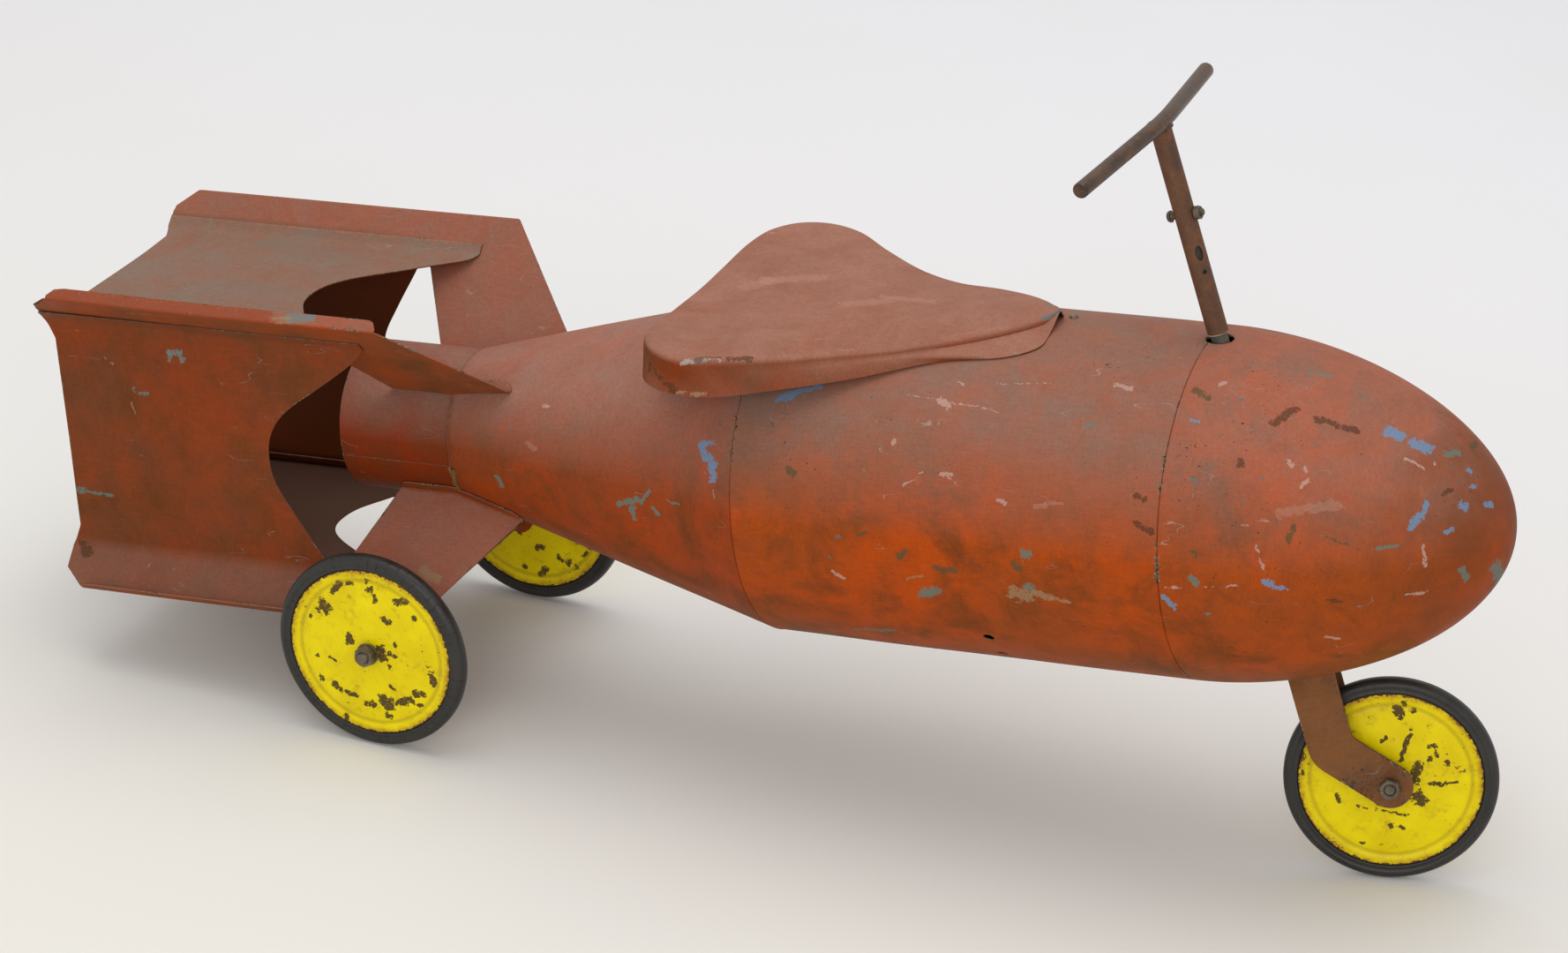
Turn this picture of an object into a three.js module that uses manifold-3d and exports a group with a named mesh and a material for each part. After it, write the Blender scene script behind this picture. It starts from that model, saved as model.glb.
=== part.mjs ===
// A pressed-steel ride-on toy: a bomb-shaped body with a boxed tail, a saddle, a handlebar and three wheels.
// Millimetres. +X is forward, +Y is left, +Z is up. The toy stands on z = 0.
import * as THREE from 'three';
import { mergeVertices } from 'three/addons/utils/BufferGeometryUtils.js';
import Module from 'manifold-3d';

const wasm = await Module();
wasm.setup();

// Fits between pieces
const SEAM_GAP = 0.3;
const RUNNING_GAP = 0.3;

// Body: its axis climbs towards the nose. Lengths along it start above the rear axle
const BODY_PITCH = 5.8;
const BODY_AXIS_HEIGHT = 240.1;
const BODY_SHEET = 1.2;
const BARREL_RADIUS = 146;
const BARREL_LENGTH = 373.5;
const NOSE_LENGTH = 249;
const NOSE_LIP = 14;
const CONE_LENGTH = 302.4;
const CONE_LIP_STEP = 2;
const TAIL_TUBE_RADIUS = 65;
const TAIL_TUBE_LENGTH = 121;
const TAIL_TUBE_SOCKET = 14;
const TAIL_RIM_X = -78.8;
const DRAIN_HOLE_DIAMETER = 10;
const DRAIN_HOLE_X = 542;
const DRAIN_HOLE_ANGLES = [37.5, 52];

// The nose is a superellipse of revolution
const NOSE_AXIAL_POWER = 1.79;
const NOSE_RADIAL_POWER = 1.965;
const NOSE_RINGS = 11;
const NOSE_INNER_RINGS = 7;

// How finely round shapes are drawn
const BODY_FACETS = 40;
const ROD_FACETS = 20;
const AXLE_FACETS = 16;
const SMALL_FACETS = 12;
const END_STEPS = 8;
const BAR_FACETS = 14;
const BAR_STEPS = 20;

// Tail fins and the panels between them
const TAIL_SHEET = 1;
const FIN_RADIUS = 193.5;
const FIN_BAND_WIDTH = 53.5;
const FIN_REAR_X = -334;
const FIN_FRONT_X = 9;
const FIN_BASE_REAR_X = -32;
const FIN_BASE_FRONT_X = 90;
const FIN_ARM_REAR_X = -64;
const FIN_CHAMFER_LENGTH = 21;
const FIN_CHAMFER_DEPTH = 19;
const FIN_LIP_WIDTH = 11;
const FIN_LIP_CORNER = 8;
const FIN_FLANGE_WIDTH = 12;
const PANEL_HEIGHT = 108.5;
const PANEL_BEND_RADIUS = 9;
const NARROW_FLANGE_INSET = 28;
const PANEL_REAR_INSET = 8.5;
const PANEL_FRONT_X = -19;
// Front cut of a panel, as distance along the body and distance across the panel
const PANEL_CUT = [
  [-19, 108], [-33, 93], [-68, 67], [-98, 46], [-116, 27], [-124.5, 5],
  [-122.5, -24], [-107, -53], [-84, -90], [-74, -109], [-62, -138],
];

// Seat pan: the edge where its top turns down, from the nose round to the middle of the back. Each point is
// a distance along the body, a distance to the side and a height over the top of the barrel
const SEAT_SHEET = 1.2;
const SEAT_EDGE_RADIUS = 6;
// Where the skirt is low, the rolled edge takes this share of its height
const SEAT_EDGE_SHARE = 0.8;
const SEAT_EDGE = [
  [573, 0, 12], [563, 17, 9.5], [541, 36, 6.5], [505, 56, 2], [455, 76, -3.5], [413, 96, -4],
  [366, 127, -1.5], [330, 150, 3.5], [299, 157.5, 5.5], [274, 148, 7.5], [256, 127, 7.5], [247, 102, 4.5],
  [245.5, 50, 2], [247, 0, 2],
];
// Lower edge of the seat's skirt: it arches over the barrel at the nose, then lies on the barrel, and hangs
// free at the rear. Its right front is spread wider than its left
const SEAT_ARCH = [573.5, 0, 10];
const SEATED_SKIRT_LEFT = [[571, 13], [561, 32], [543, 48], [490, 67]];
const SEATED_SKIRT_RIGHT = [[573, 24], [571, 42], [550, 56], [490, 69]];
const FREE_SKIRT = [
  [425, 97, -25.5], [367, 131, -28], [330, 154, -27.5], [298, 160, -26.5], [265, 147, -24.5],
  [247, 109, -24], [242, 50, -20], [243, 0, -15],
];
const SEAT_SPINE_FRONT = [558, 10];
const SEAT_SPINE_LOW = [400, 2.4];
const SEAT_SPINE_REAR = [268, 2];
const SEAT_STATIONS = 40;
const SEAT_STRAP_X = 281;
const SEAT_STRAP_WIDTH = 20;
const SEAT_STRAP_TOP = 34;
const SEAT_STRAP_FOOT = 14;
const SEAT_STRAP_SHEET = 2;
const SEAT_SCREW_X = 579;
const SEAT_SCREW_SIDE = 15;
const SEAT_SCREW_DIAMETER = 8;
const SEAT_SCREW_HEAD = 3;

// Steering: the column leans back, and stands turned to the left at rest
const RAKE = 19.2;
const STEER_AT_REST = 16.6;
const WHEELBASE = 859.8;
const FORK_OFFSET = 38.4;
const COLUMN_RADIUS = 7.1;
const COLUMN_END_GAP = 23.5;
const SLEEVE_RADIUS = 8.75;
const SLEEVE_BOTTOM = 407.5;
const SLEEVE_CLEARANCE = 0.3;
const OBLONG_HOLE_HEIGHT = 478.5;
const OBLONG_HOLE_WIDTH = 6.4;
const OBLONG_HOLE_LENGTH = 13;
const SMALL_HOLE_HEIGHT = 462.4;
const SMALL_HOLE_DIAMETER = 4;
const SLEEVE_HOLE_ANGLE = 47;
const BAR_DIAMETER = 13;
const BAR_HEIGHT = 590;
const BAR_HALF_WIDTH = 143.5;
const BAR_AHEAD = 3.2;
const BAR_SWEEP = 17;
const BAR_DROP = 3.9;
const BAR_BEND_HALF_WIDTH = 25;
const CLAMP_BOLT_HEIGHT = 510.5;
const CLAMP_BOLT_DIAMETER = 6;
const CLAMP_NUT_ACROSS_FLATS = 10;
const CLAMP_NUT_THICKNESS = 5;
const CLAMP_BOLT_STANDOFF = 3;
const CLAMP_HEAD_DIAMETER = 10;
const CLAMP_HEAD_HEIGHT = 4;
const CLAMP_BOLT_PROUD = 3;
const HEAD_TUBE_WALL = 2.4;
const HEAD_TUBE_LENGTH = 250;
const STRAP_WIDTH = 25;
const STRAP_THICKNESS = 3;
const LOWER_STRAP_HEIGHT = 146;
const UPPER_STRAP_HEIGHT = 372;
const COLUMN_OPENING_RADIUS = 11.5;
const FORK_OPENING_RADIUS = 31;

// Fork: one strip bent to a U, its legs bent forward
const FORK_STRIP_WIDTH = 38;
const FORK_STRIP_THICKNESS = 4;
const FORK_BEND_HEIGHT = 41.7;
const FORK_CROWN_HEIGHT = 126;
const FORK_OUTER_BEND_RADIUS = 30;

// Wheels
const WHEEL_RADIUS = 88.9;
const WHEEL_TRACK = 310.6;
const TYRE_DEPTH = 12.7;
const TYRE_WIDTH = 14.8;
const TYRE_TREAD = 5.2;
const RIM_HALF_WIDTH = 6.7;
const DISC_SHEET = 1.2;
const DISC_GROOVE_RADIUS = 66.8;
const DISC_GROOVE_DEPTH = 1.6;
const DISC_GROOVE_INNER = 4.5;
const DISC_GROOVE_OUTER = 3.8;
const DISC_CROWN = 0.9;
const DISC_CROWN_RADIUS = 24;
const DISC_HUB_FACE = 0.6;
const DISC_LAND = 0.5;
const DISC_RIM_LAND = 0.4;
const RIM_CHANNEL_DEPTH = 5.5;
const TYRE_SHOULDER = 1.9;
const TYRE_FLANK = 6;
const TYRE_FOOT = 1.2;
const TYRE_ROOT_DEPTH = 4.6;
const WHEEL_FACETS = 32;
const HUB_RADIUS = 8;
const HUB_LENGTH = 20;
const AXLE_RADIUS = 4.75;
const REAR_AXLE_PROUD = 3.1;
const FRONT_AXLE_INSET = 0.2;
const AXLE_NUT_ACROSS_FLATS = 16;
const AXLE_NUT_THICKNESS = 7.5;
const WASHER_RADIUS = 10;
const WASHER_THICKNESS = 1.5;
const FRONT_SPACER_LENGTH = 6.3;
const COLLAR_WALL = 3;
const COLLAR_END_PLAY = 1.2;
const LUG_THICKNESS = 3;
const LUG_WIDTH = 36;
const LUG_INSET = 10.8;
const LUG_FLANGE_CLEARANCE = 2.5;
const COLLAR_CLEARANCE = 1;
const LUG_END_RADIUS = 13;

const degrees = THREE.MathUtils.degToRad;
const DIAGONAL = Math.SQRT1_2;
const LONG = 400;
const DRILL_REACH = 10;
const narrowFlangeReach = FIN_RADIUS - NARROW_FLANGE_INSET;
const lugSide = FIN_RADIUS * DIAGONAL - LUG_INSET;
const columnTop = BAR_HEIGHT - BAR_DIAMETER / 2 - COLUMN_END_GAP;

// Materials
function finish(color, roughness, metalness) {
  return () => new THREE.MeshStandardMaterial({ color, roughness, metalness });
}
const redPaint = finish(0x9c4430, 0.62, 0.1);
const yellowPaint = finish(0xe3cf00, 0.45, 0.05);
const rustySteel = finish(0x6b4432, 0.75, 0.4);
const darkSteel = finish(0x5d564c, 0.55, 0.7);
const rubber = finish(0x35343a, 0.8, 0);

// Makes one closed body that faces outward from any closed geometry
function closedBody(source) {
  const bare = source.clone();
  bare.deleteAttribute('normal');
  bare.deleteAttribute('uv');
  const merged = mergeVertices(bare);
  const place = merged.getAttribute('position');
  const index = merged.getIndex().array;
  const kept = [];
  let volume = 0;
  const [a, b, c] = [new THREE.Vector3(), new THREE.Vector3(), new THREE.Vector3()];
  for (let i = 0; i < index.length; i += 3) {
    const [p, q, r] = [index[i], index[i + 1], index[i + 2]];
    const flat = p === q || q === r || r === p;
    if (!flat) {
      kept.push(p, q, r);
      a.fromBufferAttribute(place, p);
      b.fromBufferAttribute(place, q);
      c.fromBufferAttribute(place, r);
      volume += a.dot(b.cross(c));
    }
  }
  merged.setIndex(volume < 0 ? kept.reverse() : kept);
  return merged;
}

function toManifold(geometry) {
  const closed = closedBody(geometry);
  return new wasm.Manifold(new wasm.Mesh({
    numProp: 3,
    vertProperties: new Float32Array(closed.getAttribute('position').array),
    triVerts: new Uint32Array(closed.getIndex().array),
  }));
}

function toGeometry(manifold) {
  const mesh = manifold.getMesh();
  const geometry = new THREE.BufferGeometry();
  geometry.setAttribute('position', new THREE.BufferAttribute(new Float32Array(mesh.vertProperties), 3));
  geometry.setIndex(Array.from(mesh.triVerts));
  return geometry;
}

function cut(geometry, ...tools) {
  let left = toManifold(geometry);
  for (const tool of tools) {
    left = left.subtract(toManifold(tool));
  }
  return toGeometry(left);
}

function join(geometry, ...others) {
  let whole = toManifold(geometry);
  for (const other of others) {
    whole = whole.add(toManifold(other));
  }
  return toGeometry(whole);
}

function common(geometry, other) {
  return toGeometry(toManifold(geometry).intersect(toManifold(other)));
}

// A body turned about the X axis from a closed profile of [x, radius] points
function turned(profile, facets, turnedBy = 0) {
  const points = profile.map(([x, radius]) => new THREE.Vector2(radius, x));
  const closes = profile[0][1] !== 0 || profile[profile.length - 1][1] !== 0;
  if (closes) {
    points.push(points[0].clone());
  }
  const geometry = new THREE.LatheGeometry(points, facets);
  return geometry.rotateY(turnedBy).rotateZ(-Math.PI / 2);
}

// Wheels, hubs, nuts and axles are turned about the Y axis
function turnedAcross(profile, facets, turnedBy = 0) {
  return turned(profile, facets, turnedBy).rotateZ(Math.PI / 2);
}

// A plate from an outline of [x, z] points, standing in the XZ plane and centred on y = 0
function uprightPlate(outline, thickness) {
  const shape = new THREE.Shape(outline.map(([x, z]) => new THREE.Vector2(x, z)));
  const geometry = new THREE.ExtrudeGeometry(shape, { depth: thickness, bevelEnabled: false });
  return geometry.translate(0, 0, -thickness / 2).rotateX(Math.PI / 2);
}

// A prism from an outline of [x, y] points, between two heights
function prism(outline, bottom, top) {
  const shape = new THREE.Shape(outline.map(([x, y]) => new THREE.Vector2(x, y)));
  const geometry = new THREE.ExtrudeGeometry(shape, { depth: top - bottom, bevelEnabled: false });
  return geometry.translate(0, 0, bottom);
}

// A cylinder along Z between two heights
function post(radius, bottom, top, facets = ROD_FACETS) {
  const geometry = new THREE.CylinderGeometry(radius, radius, top - bottom, facets);
  return geometry.rotateX(Math.PI / 2).translate(0, 0, (bottom + top) / 2);
}

function ring(outer, inner, bottom, top, facets = ROD_FACETS) {
  const points = [[inner, bottom], [outer, bottom], [outer, top], [inner, top], [inner, bottom]];
  const geometry = new THREE.LatheGeometry(points.map(([r, z]) => new THREE.Vector2(r, z)), facets);
  return geometry.rotateX(Math.PI / 2);
}

function piece(name, geometry, material) {
  const mesh = new THREE.Mesh(closedBody(geometry), material());
  mesh.name = name;
  return mesh;
}

// The frames that the sub-assemblies stand in
const bodyFrame = new THREE.Group();
bodyFrame.position.z = BODY_AXIS_HEIGHT;
bodyFrame.rotation.y = -degrees(BODY_PITCH);

// The turned front wheel leans, and stands on the edge of its tread
const wheelTilt = Math.sin(degrees(STEER_AT_REST)) * Math.sin(degrees(RAKE));
const frontWheelHeight = WHEEL_RADIUS * Math.sqrt(1 - wheelTilt ** 2) + (TYRE_TREAD / 2) * wheelTilt;
const offsetAhead = FORK_OFFSET * Math.cos(degrees(STEER_AT_REST));
const steeringFrame = new THREE.Group();
steeringFrame.position.set(
  WHEELBASE - offsetAhead * Math.cos(degrees(RAKE)),
  0,
  frontWheelHeight - offsetAhead * Math.sin(degrees(RAKE)),
);
steeringFrame.rotation.y = -degrees(RAKE);

const forkFrame = new THREE.Group();
forkFrame.rotation.z = degrees(STEER_AT_REST);
steeringFrame.add(forkFrame);

// Places a shape that is drawn on the steering axis into the body's own frame
function alongSteeringAxis(geometry) {
  bodyFrame.updateMatrix();
  steeringFrame.updateMatrix();
  const move = bodyFrame.matrix.clone().invert().multiply(steeringFrame.matrix);
  return geometry.clone().applyMatrix4(move);
}

// Lengths along the body's axis, from the foot of the rear axle's plumb line
const coneRearX = TAIL_RIM_X + TAIL_TUBE_LENGTH - TAIL_TUBE_SOCKET;
const barrelRearX = coneRearX + CONE_LENGTH;
const noseRearX = barrelRearX + BARREL_LENGTH;
const coneMouthRadius = TAIL_TUBE_RADIUS + SEAM_GAP + BODY_SHEET;

function coneRadius(x) {
  const along = (x - coneRearX) / CONE_LENGTH;
  return coneMouthRadius + (BARREL_RADIUS - coneMouthRadius) * along;
}

function noseProfile(inset, rearX, rings = NOSE_RINGS) {
  const points = [];
  for (let i = 0; i <= rings; i += 1) {
    const along = Math.sin((Math.PI / 2) * (i / rings));
    const radius = (BARREL_RADIUS - inset) * (1 - along ** NOSE_AXIAL_POWER) ** (1 / NOSE_RADIAL_POWER);
    points.push([rearX + (NOSE_LENGTH - inset) * along, i === rings ? 0 : radius]);
  }
  return points;
}

function makeNoseShell() {
  const lipRadius = BARREL_RADIUS - BODY_SHEET - SEAM_GAP;
  const inside = noseProfile(BODY_SHEET, noseRearX, NOSE_INNER_RINGS).reverse();
  inside.pop();
  const profile = [
    ...noseProfile(0, noseRearX + SEAM_GAP),
    ...inside,
    [noseRearX + NOSE_LIP / 2, lipRadius - BODY_SHEET],
    [noseRearX - NOSE_LIP, lipRadius - BODY_SHEET],
    [noseRearX - NOSE_LIP, lipRadius],
    [noseRearX + SEAM_GAP, lipRadius],
  ];
  const shell = turned(profile, BODY_FACETS);
  const columnOpening = alongSteeringAxis(post(COLUMN_OPENING_RADIUS, UPPER_STRAP_HEIGHT, columnTop));
  const underStrap = LOWER_STRAP_HEIGHT - STRAP_THICKNESS;
  const forkOpening = alongSteeringAxis(post(FORK_OPENING_RADIUS, 0, underStrap));
  return cut(shell, columnOpening, forkOpening);
}

function makeBarrelShell() {
  const profile = [
    [barrelRearX, BARREL_RADIUS],
    [noseRearX, BARREL_RADIUS],
    [noseRearX, BARREL_RADIUS - BODY_SHEET],
    [barrelRearX, BARREL_RADIUS - BODY_SHEET],
  ];
  const shell = turned(profile, BODY_FACETS);
  const columnOpening = alongSteeringAxis(post(COLUMN_OPENING_RADIUS, UPPER_STRAP_HEIGHT, columnTop));
  const holes = DRAIN_HOLE_ANGLES.map((angle) => {
    const drill = post(DRAIN_HOLE_DIAMETER / 2, -DRILL_REACH, DRILL_REACH, SMALL_FACETS);
    drill.translate(0, 0, BARREL_RADIUS);
    return drill.rotateX(Math.PI / 2 + degrees(angle)).translate(DRAIN_HOLE_X, 0, 0);
  });
  return cut(shell, columnOpening, ...holes);
}

function makeRearCone() {
  const lipRadius = BARREL_RADIUS - BODY_SHEET - SEAM_GAP;
  const lipStart = barrelRearX - SEAM_GAP;
  const profile = [
    [coneRearX, coneMouthRadius],
    [lipStart, BARREL_RADIUS],
    [lipStart, lipRadius],
    [barrelRearX + NOSE_LIP, lipRadius],
    [barrelRearX + NOSE_LIP, lipRadius - BODY_SHEET],
    [lipStart - NOSE_LIP / 2, lipRadius - BODY_SHEET - CONE_LIP_STEP],
    [coneRearX, coneMouthRadius - BODY_SHEET],
  ];
  return turned(profile, BODY_FACETS);
}

function makeTailTube() {
  const frontX = TAIL_RIM_X + TAIL_TUBE_LENGTH;
  const inner = TAIL_TUBE_RADIUS - BODY_SHEET;
  const outside = [[TAIL_RIM_X, TAIL_TUBE_RADIUS], [frontX, TAIL_TUBE_RADIUS]];
  return turned([...outside, [frontX, inner], [TAIL_RIM_X, inner]], BODY_FACETS);
}

// A sleeve that follows the tube and the cone, for what lies on them
function tailSkin(gap, thickness) {
  const low = TAIL_TUBE_RADIUS + BODY_SHEET + gap;
  const frontX = FIN_BASE_FRONT_X + FIN_FLANGE_WIDTH;
  const outside = [[TAIL_RIM_X, low + thickness], [coneRearX, low + thickness],
    [coneRearX, coneRadius(coneRearX) + gap + thickness], [frontX, coneRadius(frontX) + gap + thickness]];
  const inside = [[frontX, coneRadius(frontX) + gap], [coneRearX, low], [TAIL_RIM_X, low - BODY_SHEET]];
  return turned([...outside, ...inside], BODY_FACETS);
}

// A fin in its own frame: radial is +Z, and its lip and flange turn towards +Y
function makeFin() {
  const bandInner = FIN_RADIUS - FIN_BAND_WIDTH;
  const baseRadius = TAIL_TUBE_RADIUS + 2 * SEAM_GAP;
  const outline = [
    [FIN_BASE_REAR_X, baseRadius],
    [coneRearX - 3 * SEAM_GAP, baseRadius],
    [coneRearX - 3 * SEAM_GAP, coneMouthRadius + SEAM_GAP],
    [FIN_BASE_FRONT_X, coneRadius(FIN_BASE_FRONT_X) + 2 * SEAM_GAP],
    [FIN_FRONT_X, FIN_RADIUS],
    [FIN_REAR_X + FIN_CHAMFER_LENGTH, FIN_RADIUS],
    [FIN_REAR_X, FIN_RADIUS - FIN_CHAMFER_DEPTH],
    [FIN_REAR_X, bandInner],
    [FIN_ARM_REAR_X, bandInner],
  ];
  const sheet = uprightPlate(outline, TAIL_SHEET);
  const lipRear = FIN_REAR_X + FIN_CHAMFER_LENGTH;
  const lipFront = FIN_FRONT_X - TAIL_SHEET;
  const lipOutline = [
    [lipRear, 0],
    [lipFront, 0],
    [lipFront - TAIL_SHEET, FIN_LIP_WIDTH - FIN_LIP_CORNER],
    [lipFront - FIN_LIP_CORNER * 0.4, FIN_LIP_WIDTH - FIN_LIP_CORNER / 3],
    [lipFront - FIN_LIP_CORNER - TAIL_SHEET, FIN_LIP_WIDTH],
    [lipRear + FIN_LIP_CORNER, FIN_LIP_WIDTH],
  ];
  const lip = prism(lipOutline, FIN_RADIUS - TAIL_SHEET, FIN_RADIUS);
  const flangeOutline = [
    [FIN_BASE_REAR_X, 0],
    [FIN_BASE_FRONT_X, 0],
    [FIN_BASE_FRONT_X, FIN_FLANGE_WIDTH],
    [FIN_BASE_REAR_X, FIN_FLANGE_WIDTH],
  ];
  const flangeBlock = prism(flangeOutline, FIN_FLANGE_WIDTH, BARREL_RADIUS + FIN_FLANGE_WIDTH);
  const flange = common(tailSkin(2 * SEAM_GAP, TAIL_SHEET), flangeBlock);
  return join(sheet, lip, flange);
}

// Rounds the inner corners of an open line of points
function rounded(points, radius, steps) {
  const line = [points[0]];
  for (let i = 1; i < points.length - 1; i += 1) {
    const corner = new THREE.Vector2(...points[i]);
    const back = new THREE.Vector2(...points[i - 1]).sub(corner).normalize();
    const ahead = new THREE.Vector2(...points[i + 1]).sub(corner).normalize();
    const half = Math.acos(back.dot(ahead)) / 2;
    const run = radius / Math.tan(half);
    const curve = new THREE.QuadraticBezierCurve(
      back.clone().multiplyScalar(run).add(corner),
      corner,
      ahead.clone().multiplyScalar(run).add(corner),
    );
    for (const point of curve.getPoints(steps)) {
      line.push([point.x, point.y]);
    }
  }
  line.push(points[points.length - 1]);
  return line;
}

// The closed outline of a bent sheet whose middle follows a line of points
function bentSheet(middle, thickness) {
  const line = middle.map(([x, y]) => new THREE.Vector2(x, y));
  const sides = line.map((point, i) => {
    const before = line[Math.max(i - 1, 0)];
    const after = line[Math.min(i + 1, line.length - 1)];
    const intoPoint = point.clone().sub(before).normalize();
    const outOfPoint = after.clone().sub(point).normalize();
    const along = intoPoint.clone().add(outOfPoint).normalize();
    const stretch = i === 0 || i === line.length - 1 ? 1 : 1 / Math.max(along.dot(outOfPoint), 0.2);
    return new THREE.Vector2(-along.y, along.x).multiplyScalar((thickness / 2) * stretch);
  });
  const left = line.map((point, i) => point.clone().add(sides[i]));
  const right = line.map((point, i) => point.clone().sub(sides[i])).reverse();
  return [...left, ...right].map((point) => [point.x, point.y]);
}

// Extrudes an outline of [y, z] points along the body, between two places
function alongBody(outline, rearX, frontX) {
  const shape = new THREE.Shape(outline.map(([y, z]) => new THREE.Vector2(y, z)));
  const geometry = new THREE.ExtrudeGeometry(shape, { depth: frontX - rearX, bevelEnabled: false });
  const turn = new THREE.Matrix4().makeBasis(
    new THREE.Vector3(0, 1, 0),
    new THREE.Vector3(0, 0, 1),
    new THREE.Vector3(1, 0, 0),
  );
  return geometry.applyMatrix4(turn).translate(rearX, 0, 0);
}

function smoothLine(points, steps) {
  const curve = new THREE.CatmullRomCurve3(points.map(([x, y, z = 0]) => new THREE.Vector3(x, y, z)));
  return curve.getPoints(steps).map((point) => [point.x, point.y, point.z]);
}

// The top panel: the narrow flange lies on the left upper fin, the wide one under the right upper fin's lip
function makePanel() {
  const lift = TAIL_SHEET + SEAM_GAP;
  const onNarrowSide = (reach) => [(reach - lift) * DIAGONAL, (reach + lift) * DIAGONAL];
  const onWideSide = (reach) => [(lift - reach) * DIAGONAL, (reach + lift) * DIAGONAL];
  const creaseReach = PANEL_HEIGHT / DIAGONAL - lift;
  const middle = rounded([
    onNarrowSide(narrowFlangeReach),
    onNarrowSide(creaseReach),
    onWideSide(creaseReach),
    onWideSide(FIN_RADIUS - TAIL_SHEET - SEAM_GAP),
  ], PANEL_BEND_RADIUS, 3);
  const blank = alongBody(bentSheet(middle, TAIL_SHEET), FIN_REAR_X, PANEL_FRONT_X);

  const frontCurve = smoothLine(PANEL_CUT, 22).map(([x, y]) => [x, y]);
  const frontEnds = [[FIN_BASE_FRONT_X, PANEL_HEIGHT], [FIN_BASE_FRONT_X, -FIN_RADIUS]];
  const frontCut = prism([frontEnds[0], ...frontCurve, frontEnds[1]], 0, LONG);

  const chamferSide = (FIN_RADIUS - FIN_CHAMFER_DEPTH) * DIAGONAL;
  const flatRearX = FIN_REAR_X + PANEL_REAR_INSET;
  const rearCurve = [
    [FIN_REAR_X + FIN_CHAMFER_LENGTH, -FIN_RADIUS * DIAGONAL],
    [FIN_REAR_X, -chamferSide],
    ...smoothLine([
      [FIN_REAR_X, -PANEL_HEIGHT],
      [flatRearX, -PANEL_HEIGHT * 0.82],
      [flatRearX, 0],
      [flatRearX, PANEL_HEIGHT * 0.82],
      [FIN_REAR_X, PANEL_HEIGHT],
    ], 12).map(([x, y]) => [x, y]),
  ];
  const behind = FIN_REAR_X - PANEL_HEIGHT;
  const chamferX = FIN_REAR_X + FIN_CHAMFER_LENGTH;
  const rearEnds = [[behind, PANEL_HEIGHT], [behind, -FIN_RADIUS], [chamferX, -FIN_RADIUS]];
  const rearCut = prism([...rearEnds, ...rearCurve], 0, LONG);
  return cut(blank, frontCut, rearCut);
}

function makeSeatPan() {
  const loop = (points) => {
    const places = points.map(([x, y, z]) => new THREE.Vector3(x, y, z));
    return new THREE.CatmullRomCurve3(places, true, 'centripetal');
  };
  const mirrored = (points) => points.map(([x, y, z]) => [x, -y, z]).reverse();
  const overBarrel = ([x, y, height]) => [x, y, BARREL_RADIUS + height];
  const onBarrel = ([x, y]) => [x, y, Math.sqrt((BARREL_RADIUS + SEAT_SHEET + 2 * SEAM_GAP) ** 2 - y ** 2)];
  const leftEdge = SEAT_EDGE.map(overBarrel);
  const edge = loop([...leftEdge, ...mirrored(leftEdge.slice(1, -1))]);
  const free = FREE_SKIRT.map(overBarrel);
  const skirt = loop([
    overBarrel(SEAT_ARCH),
    ...SEATED_SKIRT_LEFT.map(onBarrel),
    ...free,
    ...mirrored([...SEATED_SKIRT_RIGHT.map(onBarrel), ...free.slice(0, -1)]),
  ]);
  const spinePoints = [SEAT_SPINE_FRONT, SEAT_SPINE_LOW, SEAT_SPINE_REAR];
  const onSpine = ([x, height]) => new THREE.Vector2(x, BARREL_RADIUS + height);
  const spine = new THREE.SplineCurve(spinePoints.map(onSpine));
  const middle = new THREE.Vector3(SEAT_SPINE_LOW[0], 0, BARREL_RADIUS + SEAT_SPINE_LOW[1]);
  const shares = [0, 0.34, 0.66, 1];
  const softening = [[1, 0], [1 - Math.SQRT1_2, 1 - Math.SQRT1_2], [0, 1]];
  const outer = [];
  for (let i = 0; i < SEAT_STATIONS; i += 1) {
    const t = i / SEAT_STATIONS;
    const corner = edge.getPoint(t);
    const foot = skirt.getPoint(t);
    const inward = middle.clone().sub(corner).setZ(0).normalize();
    const spinePoint = spine.getPoint(1 - Math.abs(1 - 2 * t));
    const centre = new THREE.Vector3(spinePoint.x, 0, spinePoint.y);
    const radius = Math.min(SEAT_EDGE_RADIUS, (corner.z - foot.z) * SEAT_EDGE_SHARE);
    const rim = corner.clone().addScaledVector(inward, radius);
    const column = shares.slice(0, -1).map((share) => {
      const point = centre.clone().lerp(rim, share);
      point.z = centre.z + (rim.z - centre.z) * share ** 2;
      return point;
    });
    for (const [along, down] of softening) {
      const point = corner.clone().addScaledVector(inward, radius * along);
      point.z -= radius * down;
      column.push(point);
    }
    column.push(foot);
    outer.push(column);
  }
  return sheetFromStations(outer, SEAT_SHEET);
}

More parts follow.
